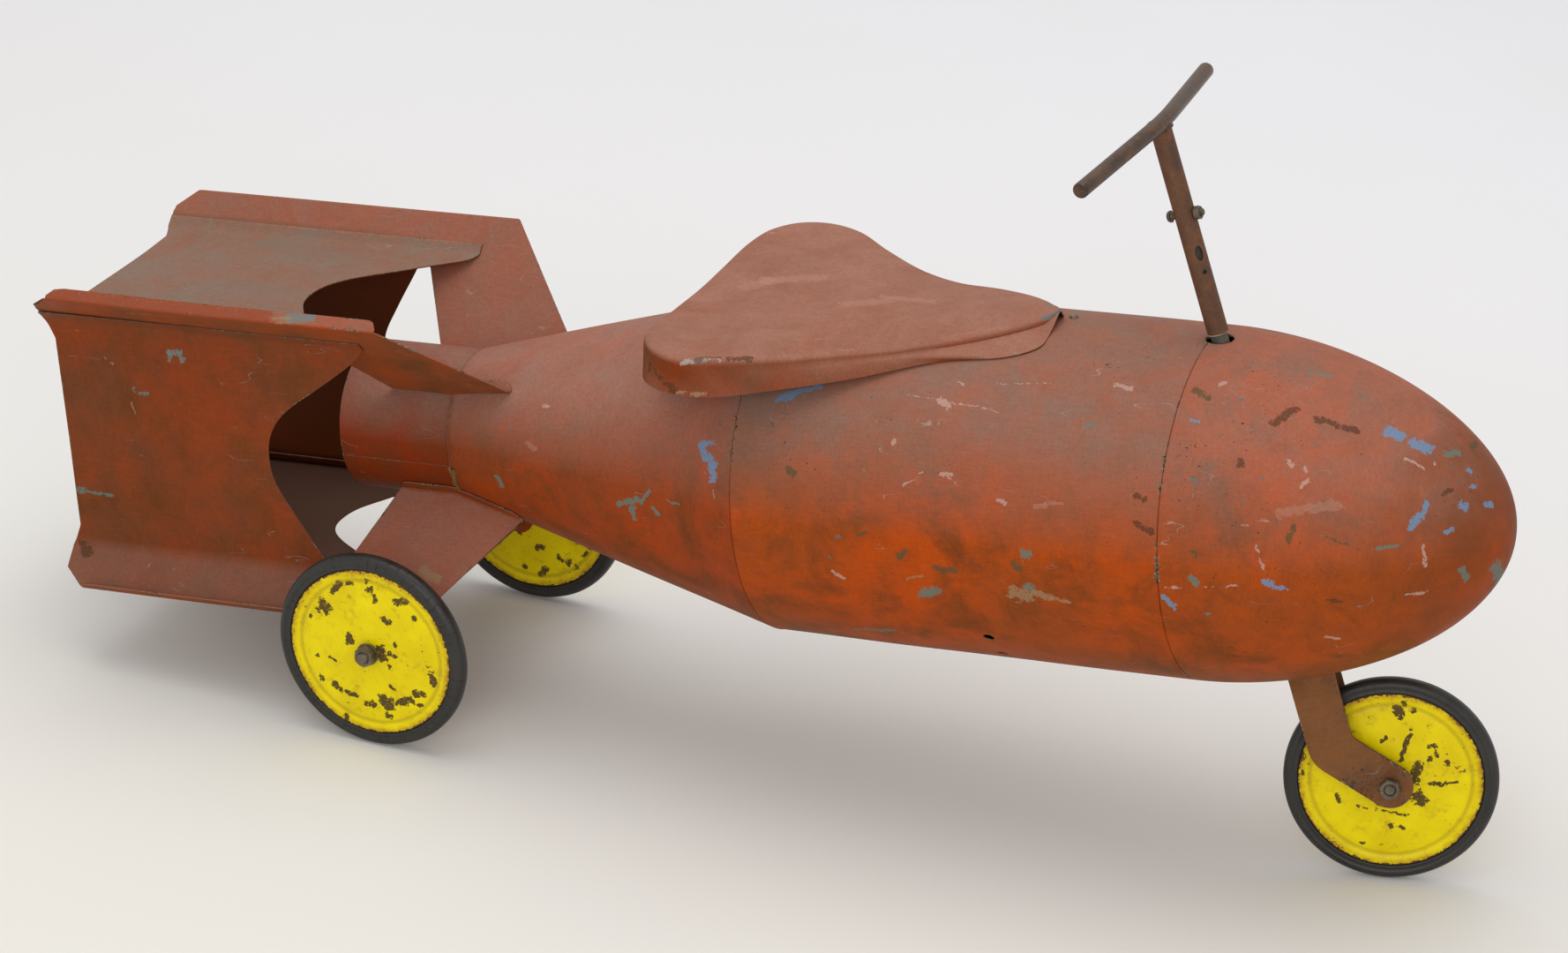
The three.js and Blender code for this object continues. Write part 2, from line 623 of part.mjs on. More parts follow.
// Closes a pressed sheet: stations run round it, each from its middle line out to its lower edge
function sheetFromStations(stations, thickness) {
  const count = stations.length;
  const rows = stations[0].length;
  const normalAt = (i, j) => {
    const round = stations[(i + 1) % count][j].clone().sub(stations[(i + count - 1) % count][j]);
    const out = stations[i][Math.min(j + 1, rows - 1)].clone().sub(stations[i][Math.max(j - 1, 0)]);
    const normal = out.cross(round).normalize();
    return j === 0 ? new THREE.Vector3(0, 0, Math.sign(normal.z) || 1) : normal;
  };
  const outerUp = Math.sign(normalAt(1, 2).z);
  const places = [];
  for (const layer of [0, 1]) {
    for (let i = 0; i < count; i += 1) {
      for (let j = 0; j < rows; j += 1) {
        const normal = j === 0 ? new THREE.Vector3(0, 0, 1) : normalAt(i, j).multiplyScalar(outerUp);
        places.push(stations[i][j].clone().addScaledVector(normal, -thickness * layer));
      }
    }
  }
  const at = (layer, i, j) => layer * count * rows + (i % count) * rows + j;
  const index = [];
  const quad = (a, b, c, d) => index.push(a, b, c, a, c, d);
  for (let i = 0; i < count; i += 1) {
    for (let j = 0; j < rows - 1; j += 1) {
      quad(at(0, i, j), at(0, i, j + 1), at(0, i + 1, j + 1), at(0, i + 1, j));
      quad(at(1, i, j), at(1, i + 1, j), at(1, i + 1, j + 1), at(1, i, j + 1));
    }
    quad(at(0, i, rows - 1), at(1, i, rows - 1), at(1, i + 1, rows - 1), at(0, i + 1, rows - 1));
  }
  const geometry = new THREE.BufferGeometry();
  const numbers = places.flatMap((place) => place.toArray());
  geometry.setAttribute('position', new THREE.Float32BufferAttribute(numbers, 3));
  geometry.setIndex(index);
  return geometry;
}

// A hat-shaped strap between the top of the cone and the seat
function makeSeatStrap() {
  const half = SEAT_STRAP_TOP / 2;
  const footRadius = (x) => Math.min(coneRadius(x), BARREL_RADIUS) + SEAM_GAP + SEAT_STRAP_SHEET / 2;
  const top = BARREL_RADIUS + SEAT_SPINE_REAR[1] - SEAT_SHEET - SEAM_GAP - SEAT_STRAP_SHEET / 2;
  const rearFoot = SEAT_STRAP_X - half - SEAT_STRAP_FOOT;
  const middle = [
    [rearFoot, footRadius(rearFoot)],
    [SEAT_STRAP_X - half, footRadius(SEAT_STRAP_X - half)],
    [SEAT_STRAP_X - half / 2, top],
    [SEAT_STRAP_X + half / 2, top],
    [SEAT_STRAP_X + half, footRadius(SEAT_STRAP_X + half)],
    [SEAT_STRAP_X + half + SEAT_STRAP_FOOT, footRadius(SEAT_STRAP_X + half + SEAT_STRAP_FOOT)],
  ];
  return uprightPlate(bentSheet(middle, SEAT_STRAP_SHEET), SEAT_STRAP_WIDTH);
}

// A low round head, flat underneath, standing on z = 0
function roundHead(diameter, height) {
  const radius = diameter / 2;
  const crown = [[radius * 0.88, height * 0.55], [radius * 0.5, height * 0.9], [0, height]];
  const points = [[0, 0], [radius, 0], ...crown];
  const geometry = new THREE.LatheGeometry(points.map(([r, z]) => new THREE.Vector2(r, z)), SMALL_FACETS);
  return geometry.rotateX(Math.PI / 2);
}

// A hexagon nut along Z
function hexagon(acrossFlats, thickness, boreRadius) {
  const corner = acrossFlats / Math.sqrt(3);
  const nut = post(corner, 0, thickness, 6);
  return cut(nut, post(boreRadius, -DRILL_REACH, thickness + DRILL_REACH, AXLE_FACETS));
}

function makeHeadTube() {
  const bore = COLUMN_RADIUS + RUNNING_GAP;
  const bottom = FORK_CROWN_HEIGHT + RUNNING_GAP;
  return ring(bore + HEAD_TUBE_WALL, bore, bottom, bottom + HEAD_TUBE_LENGTH);
}

// A flat strap across the inside of the nose, bored for the head tube
function makeSteeringStrap(height) {
  const strap = new THREE.BoxGeometry(STRAP_WIDTH, 2 * BARREL_RADIUS, STRAP_THICKNESS);
  strap.translate(0, 0, height);
  const holeRadius = COLUMN_RADIUS + RUNNING_GAP + HEAD_TUBE_WALL + SEAM_GAP;
  const hole = post(holeRadius, height - DRILL_REACH, height + DRILL_REACH);
  const inset = BODY_SHEET + 2 * SEAM_GAP;
  const inside = [[noseRearX, 0], ...noseProfile(inset, noseRearX, NOSE_INNER_RINGS)];
  inside.splice(1, 0, [noseRearX, BARREL_RADIUS - inset - BODY_SHEET - SEAM_GAP]);
  inside.splice(2, 1);
  return common(alongSteeringAxis(cut(strap, hole)), turned(inside, BODY_FACETS));
}

function makeColumn() {
  const bottom = FORK_CROWN_HEIGHT - FORK_STRIP_THICKNESS - SEAM_GAP;
  const boltHole = post(CLAMP_BOLT_DIAMETER / 2 + SEAM_GAP, -LONG, LONG, SMALL_FACETS).rotateY(Math.PI / 2);
  return cut(post(COLUMN_RADIUS, bottom, columnTop), boltHole.translate(0, 0, CLAMP_BOLT_HEIGHT));
}

function barPath() {
  const half = BAR_BEND_HALF_WIDTH;
  const straight = BAR_HALF_WIDTH - half / 2;
  const slope = BAR_SWEEP / straight;
  const drop = BAR_DROP / straight;
  const at = (y) => {
    const beyond = Math.max(Math.abs(y) - half / 2, 0);
    const eased = Math.abs(y) < half ? (Math.abs(y) / half) ** 2 * (half / 2) : beyond;
    return new THREE.Vector3(BAR_AHEAD - slope * eased, y, BAR_HEIGHT - drop * eased);
  };
  const sides = [-BAR_HALF_WIDTH, -3 * half, -half, -half / 2, 0, half / 2, half, 3 * half, BAR_HALF_WIDTH];
  return new THREE.CatmullRomCurve3(sides.map(at));
}

function makeHandlebar() {
  const section = new THREE.Shape();
  for (let i = 0; i < BAR_FACETS; i += 1) {
    const angle = (2 * Math.PI * i) / BAR_FACETS;
    const method = i === 0 ? 'moveTo' : 'lineTo';
    section[method]((BAR_DIAMETER / 2) * Math.cos(angle), (BAR_DIAMETER / 2) * Math.sin(angle));
  }
  section.closePath();
  const sweep = { steps: BAR_STEPS, extrudePath: barPath(), bevelEnabled: false };
  return new THREE.ExtrudeGeometry(section, sweep);
}

function makeStemSleeve() {
  const bore = COLUMN_RADIUS + SLEEVE_CLEARANCE;
  const blank = ring(SLEEVE_RADIUS, bore, SLEEVE_BOTTOM, BAR_HEIGHT);
  const saddle = post(BAR_DIAMETER / 2 + 2 * SEAM_GAP, -LONG, LONG).rotateX(Math.PI / 2)
    .translate(BAR_AHEAD, 0, BAR_HEIGHT);
  const boltHole = post(CLAMP_BOLT_DIAMETER / 2 + SEAM_GAP, -LONG, LONG, SMALL_FACETS).rotateY(Math.PI / 2)
    .translate(0, 0, CLAMP_BOLT_HEIGHT);
  const drillOut = (radius, stretch, height) => {
    const drill = post(radius, 0, 2 * SLEEVE_RADIUS, SMALL_FACETS).scale(1, stretch, 1);
    return drill.rotateX(Math.PI / 2).rotateZ(degrees(90 - SLEEVE_HOLE_ANGLE)).translate(0, 0, height);
  };
  const oblong = drillOut(OBLONG_HOLE_WIDTH / 2, OBLONG_HOLE_LENGTH / OBLONG_HOLE_WIDTH, OBLONG_HOLE_HEIGHT);
  const small = drillOut(SMALL_HOLE_DIAMETER / 2, 1, SMALL_HOLE_HEIGHT);
  return cut(blank, saddle, boltHole, oblong, small);
}

// The clamp bolt lies fore and aft, with its head behind the stem
function makeClampBolt() {
  const headSeat = -SLEEVE_RADIUS - CLAMP_BOLT_STANDOFF;
  const tip = SLEEVE_RADIUS + CLAMP_NUT_THICKNESS + CLAMP_BOLT_PROUD;
  const shank = post(CLAMP_BOLT_DIAMETER / 2, headSeat - SEAM_GAP, tip, SMALL_FACETS);
  const head = roundHead(CLAMP_HEAD_DIAMETER, CLAMP_HEAD_HEIGHT).rotateX(Math.PI).translate(0, 0, headSeat);
  return join(shank, head).rotateY(Math.PI / 2).translate(0, 0, CLAMP_BOLT_HEIGHT);
}

function makeClampNut() {
  const nut = hexagon(CLAMP_NUT_ACROSS_FLATS, CLAMP_NUT_THICKNESS, CLAMP_BOLT_DIAMETER / 2 + SEAM_GAP);
  const seated = nut.translate(0, 0, SLEEVE_RADIUS + SEAM_GAP);
  return seated.rotateY(Math.PI / 2).translate(0, 0, CLAMP_BOLT_HEIGHT);
}

// Fork leg outline in the fork's own frame: x is ahead of the steering axis, z is along it
function legOutline() {
  const half = FORK_STRIP_WIDTH / 2;
  const lean = Math.atan2(FORK_OFFSET, FORK_BEND_HEIGHT);
  const across = [half * Math.cos(lean), half * Math.sin(lean)];
  const axle = [FORK_OFFSET, 0];
  const points = [[half, FORK_CROWN_HEIGHT], [-half, FORK_CROWN_HEIGHT]];
  const shift = half * Math.tan(lean / 2);
  const outerCorner = [-half, FORK_BEND_HEIGHT - shift];
  const outerEnd = [axle[0] - across[0], axle[1] - across[1]];
  const bend = rounded([[-half, FORK_CROWN_HEIGHT], outerCorner, outerEnd], FORK_OUTER_BEND_RADIUS, 4);
  points.push(...bend.slice(1));
  for (let i = 1; i <= END_STEPS; i += 1) {
    const angle = Math.PI + lean + (Math.PI * i) / END_STEPS;
    points.push([axle[0] + half * Math.cos(angle), axle[1] + half * Math.sin(angle)]);
  }
  points.push([half, FORK_BEND_HEIGHT + shift]);
  return points;
}

const legInnerFace = HUB_LENGTH / 2 + FRONT_SPACER_LENGTH + 2 * SEAM_GAP;

function makeFork() {
  const legMiddle = legInnerFace + FORK_STRIP_THICKNESS / 2;
  const leg = uprightPlate(legOutline(), FORK_STRIP_THICKNESS);
  const crownBottom = FORK_CROWN_HEIGHT - FORK_STRIP_THICKNESS;
  const crown = new THREE.BoxGeometry(FORK_STRIP_WIDTH, 2 * legMiddle, FORK_STRIP_THICKNESS)
    .translate(0, 0, crownBottom + FORK_STRIP_THICKNESS / 2);
  const whole = join(leg.clone().translate(0, legMiddle, 0), crown, leg.clone().translate(0, -legMiddle, 0));
  const columnHole = post(COLUMN_RADIUS + SEAM_GAP, -DRILL_REACH, DRILL_REACH).translate(0, 0, crownBottom);
  const axleHole = post(AXLE_RADIUS + SEAM_GAP, -LONG, LONG, AXLE_FACETS).rotateX(Math.PI / 2)
    .translate(FORK_OFFSET, 0, 0);
  return cut(whole, columnHole, axleHole);
}

// Wheel pieces stand on the wheel's own centre, with y along the axle
const facetScale = 1 / Math.cos(Math.PI / WHEEL_FACETS);
const halfFacet = Math.PI / WHEEL_FACETS;
const rimRadius = WHEEL_RADIUS - TYRE_DEPTH;

function makeDisc() {
  const face = RIM_HALF_WIDTH;
  const channelFoot = rimRadius - RIM_CHANNEL_DEPTH;
  const groove = DISC_GROOVE_RADIUS;
  const profile = [
    [face + DISC_HUB_FACE, HUB_RADIUS + SEAM_GAP],
    [face + DISC_CROWN, DISC_CROWN_RADIUS],
    [face - DISC_LAND, groove - DISC_GROOVE_INNER],
    [face - DISC_LAND - DISC_GROOVE_DEPTH, groove],
    [face - DISC_RIM_LAND, groove + DISC_GROOVE_OUTER],
    [face, rimRadius],
    [face - DISC_SHEET, rimRadius + DISC_RIM_LAND],
    [SEAM_GAP / 2, channelFoot],
    [SEAM_GAP / 2, groove - DISC_SHEET],
    [face - DISC_LAND - DISC_SHEET, groove - DISC_GROOVE_INNER],
    [face + DISC_HUB_FACE - DISC_SHEET, HUB_RADIUS + SEAM_GAP],
  ];
  return turnedAcross(profile, WHEEL_FACETS, halfFacet);
}

function makeTyre() {
  const half = TYRE_WIDTH / 2;
  const outer = WHEEL_RADIUS * facetScale;
  const foot = rimRadius + TYRE_FOOT;
  const side = [
    [TYRE_TREAD / 2, outer],
    [half - TYRE_SHOULDER, outer - TYRE_SHOULDER],
    [half, outer - TYRE_FLANK],
    [half - SEAM_GAP, foot],
    [RIM_HALF_WIDTH - DISC_SHEET, foot],
    [2 * SEAM_GAP, rimRadius - TYRE_ROOT_DEPTH],
  ];
  const profile = [...side, ...side.map(([y, r]) => [-y, r]).reverse()];
  return turnedAcross(profile, WHEEL_FACETS, halfFacet);
}

function makeHub() {
  const half = HUB_LENGTH / 2;
  return ring(HUB_RADIUS, AXLE_RADIUS + RUNNING_GAP, -half, half).rotateX(Math.PI / 2);
}

// A washer, spacer or collar round an axle, standing on y = 0
function axleRing(radius, length) {
  return ring(radius, AXLE_RADIUS + SEAM_GAP, 0, length, AXLE_FACETS).rotateX(-Math.PI / 2);
}

function makeAxleNut() {
  return hexagon(AXLE_NUT_ACROSS_FLATS, AXLE_NUT_THICKNESS, AXLE_RADIUS + SEAM_GAP).rotateX(-Math.PI / 2);
}

function wheel(name) {
  const group = new THREE.Group();
  const leftDisc = piece(`${name}_disc_left`, makeDisc(), yellowPaint);
  const rightDisc = piece(`${name}_disc_right`, makeDisc(), yellowPaint);
  rightDisc.rotation.x = Math.PI;
  group.add(leftDisc, rightDisc);
  group.add(piece(`${name}_tyre`, makeTyre(), rubber));
  group.add(piece(`${name}_hub`, makeHub(), darkSteel));
  return group;
}

// Rear axle lug: a tab that hangs from the underside of a lower fin, drawn for the left side
const axleX = (WHEEL_RADIUS - BODY_AXIS_HEIGHT) * Math.sin(degrees(BODY_PITCH));
const axleZ = (WHEEL_RADIUS - BODY_AXIS_HEIGHT) * Math.cos(degrees(BODY_PITCH));

function makeAxleLug() {
  const underFin = (TAIL_SHEET / 2 + SEAM_GAP + LUG_THICKNESS / 2) / DIAGONAL;
  const foldZ = -(lugSide + underFin);
  const innerY = (narrowFlangeReach + LUG_FLANGE_CLEARANCE) * DIAGONAL;
  const innerZ = foldZ + lugSide - innerY;
  const middle = [[innerY, innerZ], [lugSide, foldZ], [lugSide, axleZ - LUG_END_RADIUS]];
  const strip = alongBody(bentSheet(middle, LUG_THICKNESS), axleX - LUG_WIDTH / 2, axleX + LUG_WIDTH / 2);
  const half = LUG_WIDTH / 2;
  const tab = [[axleX - half, 0], [axleX - half, foldZ]];
  for (let i = 0; i <= END_STEPS; i += 1) {
    const angle = Math.PI + (Math.PI * i) / END_STEPS;
    tab.push([axleX + LUG_END_RADIUS * Math.cos(angle), axleZ + LUG_END_RADIUS * Math.sin(angle)]);
  }
  tab.push([axleX + half, foldZ], [axleX + half, 0]);
  const outlineBlock = uprightPlate(tab, LONG);
  const hole = post(AXLE_RADIUS + SEAM_GAP, 0, LONG, AXLE_FACETS).rotateX(-Math.PI / 2);
  hole.translate(axleX, 0, axleZ);
  return cut(common(strip, outlineBlock), hole);
}

// Body, tail and seat
bodyFrame.add(piece('nose_shell', makeNoseShell(), redPaint));
bodyFrame.add(piece('barrel_shell', makeBarrelShell(), redPaint));
bodyFrame.add(piece('rear_cone', makeRearCone(), redPaint));
bodyFrame.add(piece('tail_tube', makeTailTube(), redPaint));

const finNames = ['fin_left_upper', 'fin_right_upper', 'fin_right_lower', 'fin_left_lower'];
const panelNames = ['panel_top', 'panel_right', 'panel_bottom', 'panel_left'];
const quarterTurn = Math.PI / 2;
const collarRadius = AXLE_RADIUS + SEAM_GAP + COLLAR_WALL;
const axleRelief = post(collarRadius + COLLAR_CLEARANCE, -LONG, LONG, AXLE_FACETS).rotateX(Math.PI / 2)
  .translate(axleX, 0, axleZ);
for (let i = 0; i < finNames.length; i += 1) {
  const turn = i * quarterTurn - quarterTurn / 2;
  const fin = piece(finNames[i], cut(makeFin(), axleRelief.clone().rotateX(-turn)), redPaint);
  fin.rotation.x = turn;
  const panel = piece(panelNames[i], makePanel(), redPaint);
  panel.rotation.x = i * quarterTurn;
  bodyFrame.add(fin, panel);
}

bodyFrame.add(piece('seat_pan', makeSeatPan(), redPaint));
bodyFrame.add(piece('seat_strap', makeSeatStrap(), darkSteel));

for (const [side, sign] of [['left', 1], ['right', -1]]) {
  const lug = piece(`axle_lug_${side}`, sign > 0 ? makeAxleLug() : makeAxleLug().scale(1, -1, 1), redPaint);
  bodyFrame.add(lug);
}

const screwAngle = Math.asin(SEAT_SCREW_SIDE / BARREL_RADIUS);
const screw = piece('seat_screw', roundHead(SEAT_SCREW_DIAMETER, SEAT_SCREW_HEAD), darkSteel);
screw.position.set(
  SEAT_SCREW_X,
  (BARREL_RADIUS + SEAM_GAP) * Math.sin(screwAngle),
  (BARREL_RADIUS + SEAM_GAP) * Math.cos(screwAngle),
);
screw.rotation.x = -screwAngle;
bodyFrame.add(screw);

// Steering head inside the nose, which stays with the body
steeringFrame.add(piece('head_tube', makeHeadTube(), darkSteel));
bodyFrame.add(piece('steering_strap_lower', makeSteeringStrap(LOWER_STRAP_HEIGHT), darkSteel));
bodyFrame.add(piece('steering_strap_upper', makeSteeringStrap(UPPER_STRAP_HEIGHT), darkSteel));

// Column, stem and handlebar
steeringFrame.add(piece('steering_column', makeColumn(), darkSteel));
steeringFrame.add(piece('stem_sleeve', makeStemSleeve(), rustySteel));
steeringFrame.add(piece('handlebar', makeHandlebar(), rustySteel));
steeringFrame.add(piece('clamp_bolt', makeClampBolt(), darkSteel));
steeringFrame.add(piece('clamp_nut', makeClampNut(), darkSteel));

// Fork and front wheel
const legOuterFace = legInnerFace + FORK_STRIP_THICKNESS;
forkFrame.add(piece('fork', makeFork(), rustySteel));
const frontAxleEnd = legOuterFace + SEAM_GAP + AXLE_NUT_THICKNESS - FRONT_AXLE_INSET;
const frontAxle = post(AXLE_RADIUS, -frontAxleEnd, frontAxleEnd, AXLE_FACETS).rotateX(Math.PI / 2);
const frontAxlePiece = piece('front_axle', frontAxle, darkSteel);
frontAxlePiece.position.x = FORK_OFFSET;
forkFrame.add(frontAxlePiece);
for (const [side, sign] of [['left', 1], ['right', -1]]) {
  const spacer = piece(`front_spacer_${side}`, axleRing(HUB_RADIUS, FRONT_SPACER_LENGTH), darkSteel);
  spacer.position.set(FORK_OFFSET, sign * (HUB_LENGTH / 2 + SEAM_GAP), 0);
  spacer.rotation.x = sign > 0 ? 0 : Math.PI;
  const nut = piece(`front_nut_${side}`, makeAxleNut(), darkSteel);
  nut.position.set(FORK_OFFSET, sign * (legOuterFace + SEAM_GAP), 0);
  nut.rotation.x = sign > 0 ? 0 : Math.PI;
  forkFrame.add(spacer, nut);
}
const frontWheel = wheel('front_wheel');
frontWheel.position.x = FORK_OFFSET;
// The wheel rests on the floor along one flat of its tread
frontWheel.rotation.y = Math.atan(Math.cos(degrees(STEER_AT_REST)) * Math.tan(degrees(RAKE)));
forkFrame.add(frontWheel);

// Rear axle and wheels
const rearAxleFrame = new THREE.Group();
rearAxleFrame.position.z = WHEEL_RADIUS;
const wheelMiddle = WHEEL_TRACK / 2;
const hubInner = wheelMiddle - HUB_LENGTH / 2;
const hubOuter = wheelMiddle + HUB_LENGTH / 2;
const nutInner = hubOuter + WASHER_THICKNESS + 2 * SEAM_GAP;
const rearAxleEnd = nutInner + AXLE_NUT_THICKNESS + REAR_AXLE_PROUD;
const collarLength = hubInner - SEAM_GAP - (lugSide + LUG_THICKNESS / 2) - COLLAR_END_PLAY;
const rearAxle = post(AXLE_RADIUS, -rearAxleEnd, rearAxleEnd, AXLE_FACETS).rotateX(Math.PI / 2);
rearAxleFrame.add(piece('rear_axle', rearAxle, darkSteel));
for (const [side, sign] of [['left', 1], ['right', -1]]) {
  const rearWheel = wheel(`rear_wheel_${side}`);
  rearWheel.position.y = sign * wheelMiddle;
  const washer = piece(`rear_washer_${side}`, axleRing(WASHER_RADIUS, WASHER_THICKNESS), darkSteel);
  washer.position.y = sign * (hubOuter + SEAM_GAP);
  washer.rotation.x = sign > 0 ? 0 : Math.PI;
  const nut = piece(`rear_nut_${side}`, makeAxleNut(), darkSteel);
  nut.position.y = sign * nutInner;
  nut.rotation.x = sign > 0 ? 0 : Math.PI;
  const collar = piece(`axle_collar_${side}`, axleRing(collarRadius, collarLength), darkSteel);
  collar.position.y = sign * (hubInner - SEAM_GAP);
  collar.rotation.x = sign > 0 ? Math.PI : 0;
  rearAxleFrame.add(rearWheel, washer, nut, collar);
}

const toy = new THREE.Group();
toy.add(bodyFrame, steeringFrame, rearAxleFrame);

// The origin lies on the floor under the middle of the toy's length
const extent = new THREE.Box3().setFromObject(toy, true);
toy.position.x = -(extent.min.x + extent.max.x) / 2;

export default toy;
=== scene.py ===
"""Looks of the bomb-shaped ride-on toy: steel body, boxed tail, saddle, handlebar and three wheels."""

import math

import bmesh
import bpy
import numpy as np
from mathutils import Matrix, Vector


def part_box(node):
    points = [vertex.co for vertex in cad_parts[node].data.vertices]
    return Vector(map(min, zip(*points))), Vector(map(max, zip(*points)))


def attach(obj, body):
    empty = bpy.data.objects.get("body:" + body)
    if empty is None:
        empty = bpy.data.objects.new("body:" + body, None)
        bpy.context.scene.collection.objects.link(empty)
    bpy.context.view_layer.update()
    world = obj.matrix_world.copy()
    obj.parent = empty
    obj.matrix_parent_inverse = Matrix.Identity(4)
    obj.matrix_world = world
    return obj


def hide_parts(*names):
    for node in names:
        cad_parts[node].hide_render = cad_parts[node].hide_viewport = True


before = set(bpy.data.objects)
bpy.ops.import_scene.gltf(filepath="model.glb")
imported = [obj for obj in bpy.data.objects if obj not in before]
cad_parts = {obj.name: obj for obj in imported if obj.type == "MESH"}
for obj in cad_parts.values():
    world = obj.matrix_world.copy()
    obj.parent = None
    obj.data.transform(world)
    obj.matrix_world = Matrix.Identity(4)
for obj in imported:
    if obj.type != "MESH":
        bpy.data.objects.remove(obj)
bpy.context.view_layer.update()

# Studio. The toy stands on a pale seamless floor, and the camera looks down on its right side from ahead.
# The floor is plain but for faint clouds and a painted light falloff, darker and warmer near the camera and
# whiter far off. The light is soft and comes mostly from above.
MM = 0.001
CAMERA_AZIMUTH = 23.385
CAMERA_ELEVATION = 25.732
CAMERA_ROLL = 1.237
CAMERA_PLACE = (1678.15, -3855.8, 2277.0)
CAMERA_LENS = 126.42


def studio_camera():
    azimuth, elevation, roll = map(math.radians, (CAMERA_AZIMUTH, CAMERA_ELEVATION, CAMERA_ROLL))
    back = Vector((
        math.sin(azimuth) * math.cos(elevation),
        -math.cos(azimuth) * math.cos(elevation),
        math.sin(elevation),
    ))
    level_right = Vector((math.cos(azimuth), math.sin(azimuth), 0))
    level_up = back.cross(level_right)
    right = math.cos(roll) * level_right + math.sin(roll) * level_up
    up = -math.sin(roll) * level_right + math.cos(roll) * level_up
    data = bpy.data.cameras.new("studio_camera")
    data.sensor_width = 36
    data.lens = CAMERA_LENS
    data.clip_end = 100
    camera = bpy.data.objects.new("studio_camera", data)
    turn = Matrix((right, up, back)).transposed().to_4x4()
    camera.matrix_world = Matrix.Translation(Vector(CAMERA_PLACE) * MM) @ turn
    bpy.context.scene.collection.objects.link(camera)
    bpy.context.scene.camera = camera


def add_node(tree, kind, settings=None, **inputs):
    """Adds a shader node, with its settings and its inputs by name or number."""
    made = tree.nodes.new("ShaderNode" + kind)
    for key, value in (settings or {}).items():
        setattr(made, key, value)
    for key, value in inputs.items():
        socket = made.inputs[int(key[1:])] if key[1:].isdigit() else made.inputs[key.replace("_", " ")]
        if isinstance(value, bpy.types.NodeSocket):
            tree.links.new(value, socket)
        else:
            socket.default_value = value
    return made


def blend(share, under, over):
    return add_node(share.id_data, "Mix", {"data_type": "RGBA"}, i0=share, i6=under, i7=over).outputs[2]


def ramp(value, low, high, bottom=0.0, top=1.0):
    return add_node(value.id_data, "MapRange", i0=value, i1=low, i2=high, i3=bottom, i4=top).outputs[0]


def noise(place, scale, detail=4.0, roughness=0.55, distortion=0.0):
    return add_node(
        place.id_data, "TexNoise", Vector=place, Scale=scale, Detail=detail, Roughness=roughness,
        Distortion=distortion,
    ).outputs[0]


def split(place):
    return add_node(place.id_data, "SeparateXYZ", i0=place).outputs


def new_material(name):
    material = bpy.data.materials.new(name)
    material.use_nodes = True
    material.node_tree.nodes.clear()
    return material, material.node_tree


def end_material(material, colour, rough, **settings):
    """Ends a material with one shader, from numbers of its own or sockets that feed it."""
    tree = material.node_tree
    shader = add_node(tree, "BsdfPrincipled", Base_Color=colour, Roughness=rough, **settings)
    add_node(tree, "OutputMaterial", Surface=shader.outputs[0])
    return material


def loop_grid(rows, columns, wrap_rows, wrap_columns):
    """Faces of a grid of points that may close on itself either way."""
    i = np.arange(rows if wrap_rows else rows - 1)
    j = np.arange(columns if wrap_columns else columns - 1)
    i, j = (a.ravel() for a in np.meshgrid(i, j, indexing="ij"))
    i2, j2 = (i + 1) % rows, (j + 1) % columns
    return np.stack([i * columns + j, i2 * columns + j, i2 * columns + j2, i * columns + j2], -1)


# The floor's colour is a painted light falloff from shaded near the camera to lit far off, with faint clouds
FLOOR_NEAR_SHADED = (0.765, 0.745, 0.665, 1)
FLOOR_FAR_LIT = (0.82, 0.82, 0.86, 1)
FLOOR_CLOUD = (0.72, 0.705, 0.67, 1)
FLOOR_SIZE = 40.0
FLOOR_LINES = 9
FLOOR_DEPTH = 0.0004


def studio_floor():
    mesh = bpy.data.meshes.new("floor")
    steps = np.linspace(-FLOOR_SIZE / 2, FLOOR_SIZE / 2, FLOOR_LINES)
    places = [(x, y, -FLOOR_DEPTH) for x in steps for y in steps]
    mesh.from_pydata(places, [], loop_grid(FLOOR_LINES, FLOOR_LINES, False, False).tolist())
    floor = bpy.data.objects.new("floor", mesh)
    bpy.context.scene.collection.objects.link(floor)
    material, tree = new_material("studio_floor")
    place = add_node(tree, "TexCoord").outputs["Object"]
    # Painted light falloff: shaded and warmer near the camera, lit and whiter far off
    colour = blend(ramp(split(place)[1], -1.1, 1.6), FLOOR_NEAR_SHADED, FLOOR_FAR_LIT)
    cloud = ramp(noise(place, 1.6, 5.0), 0.3, 0.7, 0.18, 0.32)
    colour = blend(cloud, colour, FLOOR_CLOUD)
    mesh.materials.append(end_material(material, colour, 0.8, Specular_IOR_Level=0.1))


def soft_lamp(name, place, aim, size, power):
    data = bpy.data.lights.new(name, "AREA")
    data.shape = "RECTANGLE"
    data.size, data.size_y = size
    data.energy = power
    lamp = bpy.data.objects.new(name, data)
    lamp.location = place
    lamp.rotation_mode = "QUATERNION"
    lamp.rotation_quaternion = (Vector(aim) - Vector(place)).to_track_quat("-Z", "Y")
    bpy.context.scene.collection.objects.link(lamp)


def studio_light():
    world = bpy.data.worlds.new("studio")
    bpy.context.scene.world = world
    world.use_nodes = True
    sky = world.node_tree.nodes["Background"].inputs
    sky["Color"].default_value = (1.0, 0.99, 0.98, 1)
    sky["Strength"].default_value = 0.74
    soft_lamp("overhead_softbox", (-0.15, 0.25, 3.4), (0, 0, 0.2), (3.2, 3.2), 50)
    soft_lamp("front_fill", (1.2, -3.2, 1.7), (0, 0, 0.25), (2.4, 1.6), 30)


bpy.context.scene.view_settings.view_transform = "Standard"
studio_camera()
studio_floor()
studio_light()

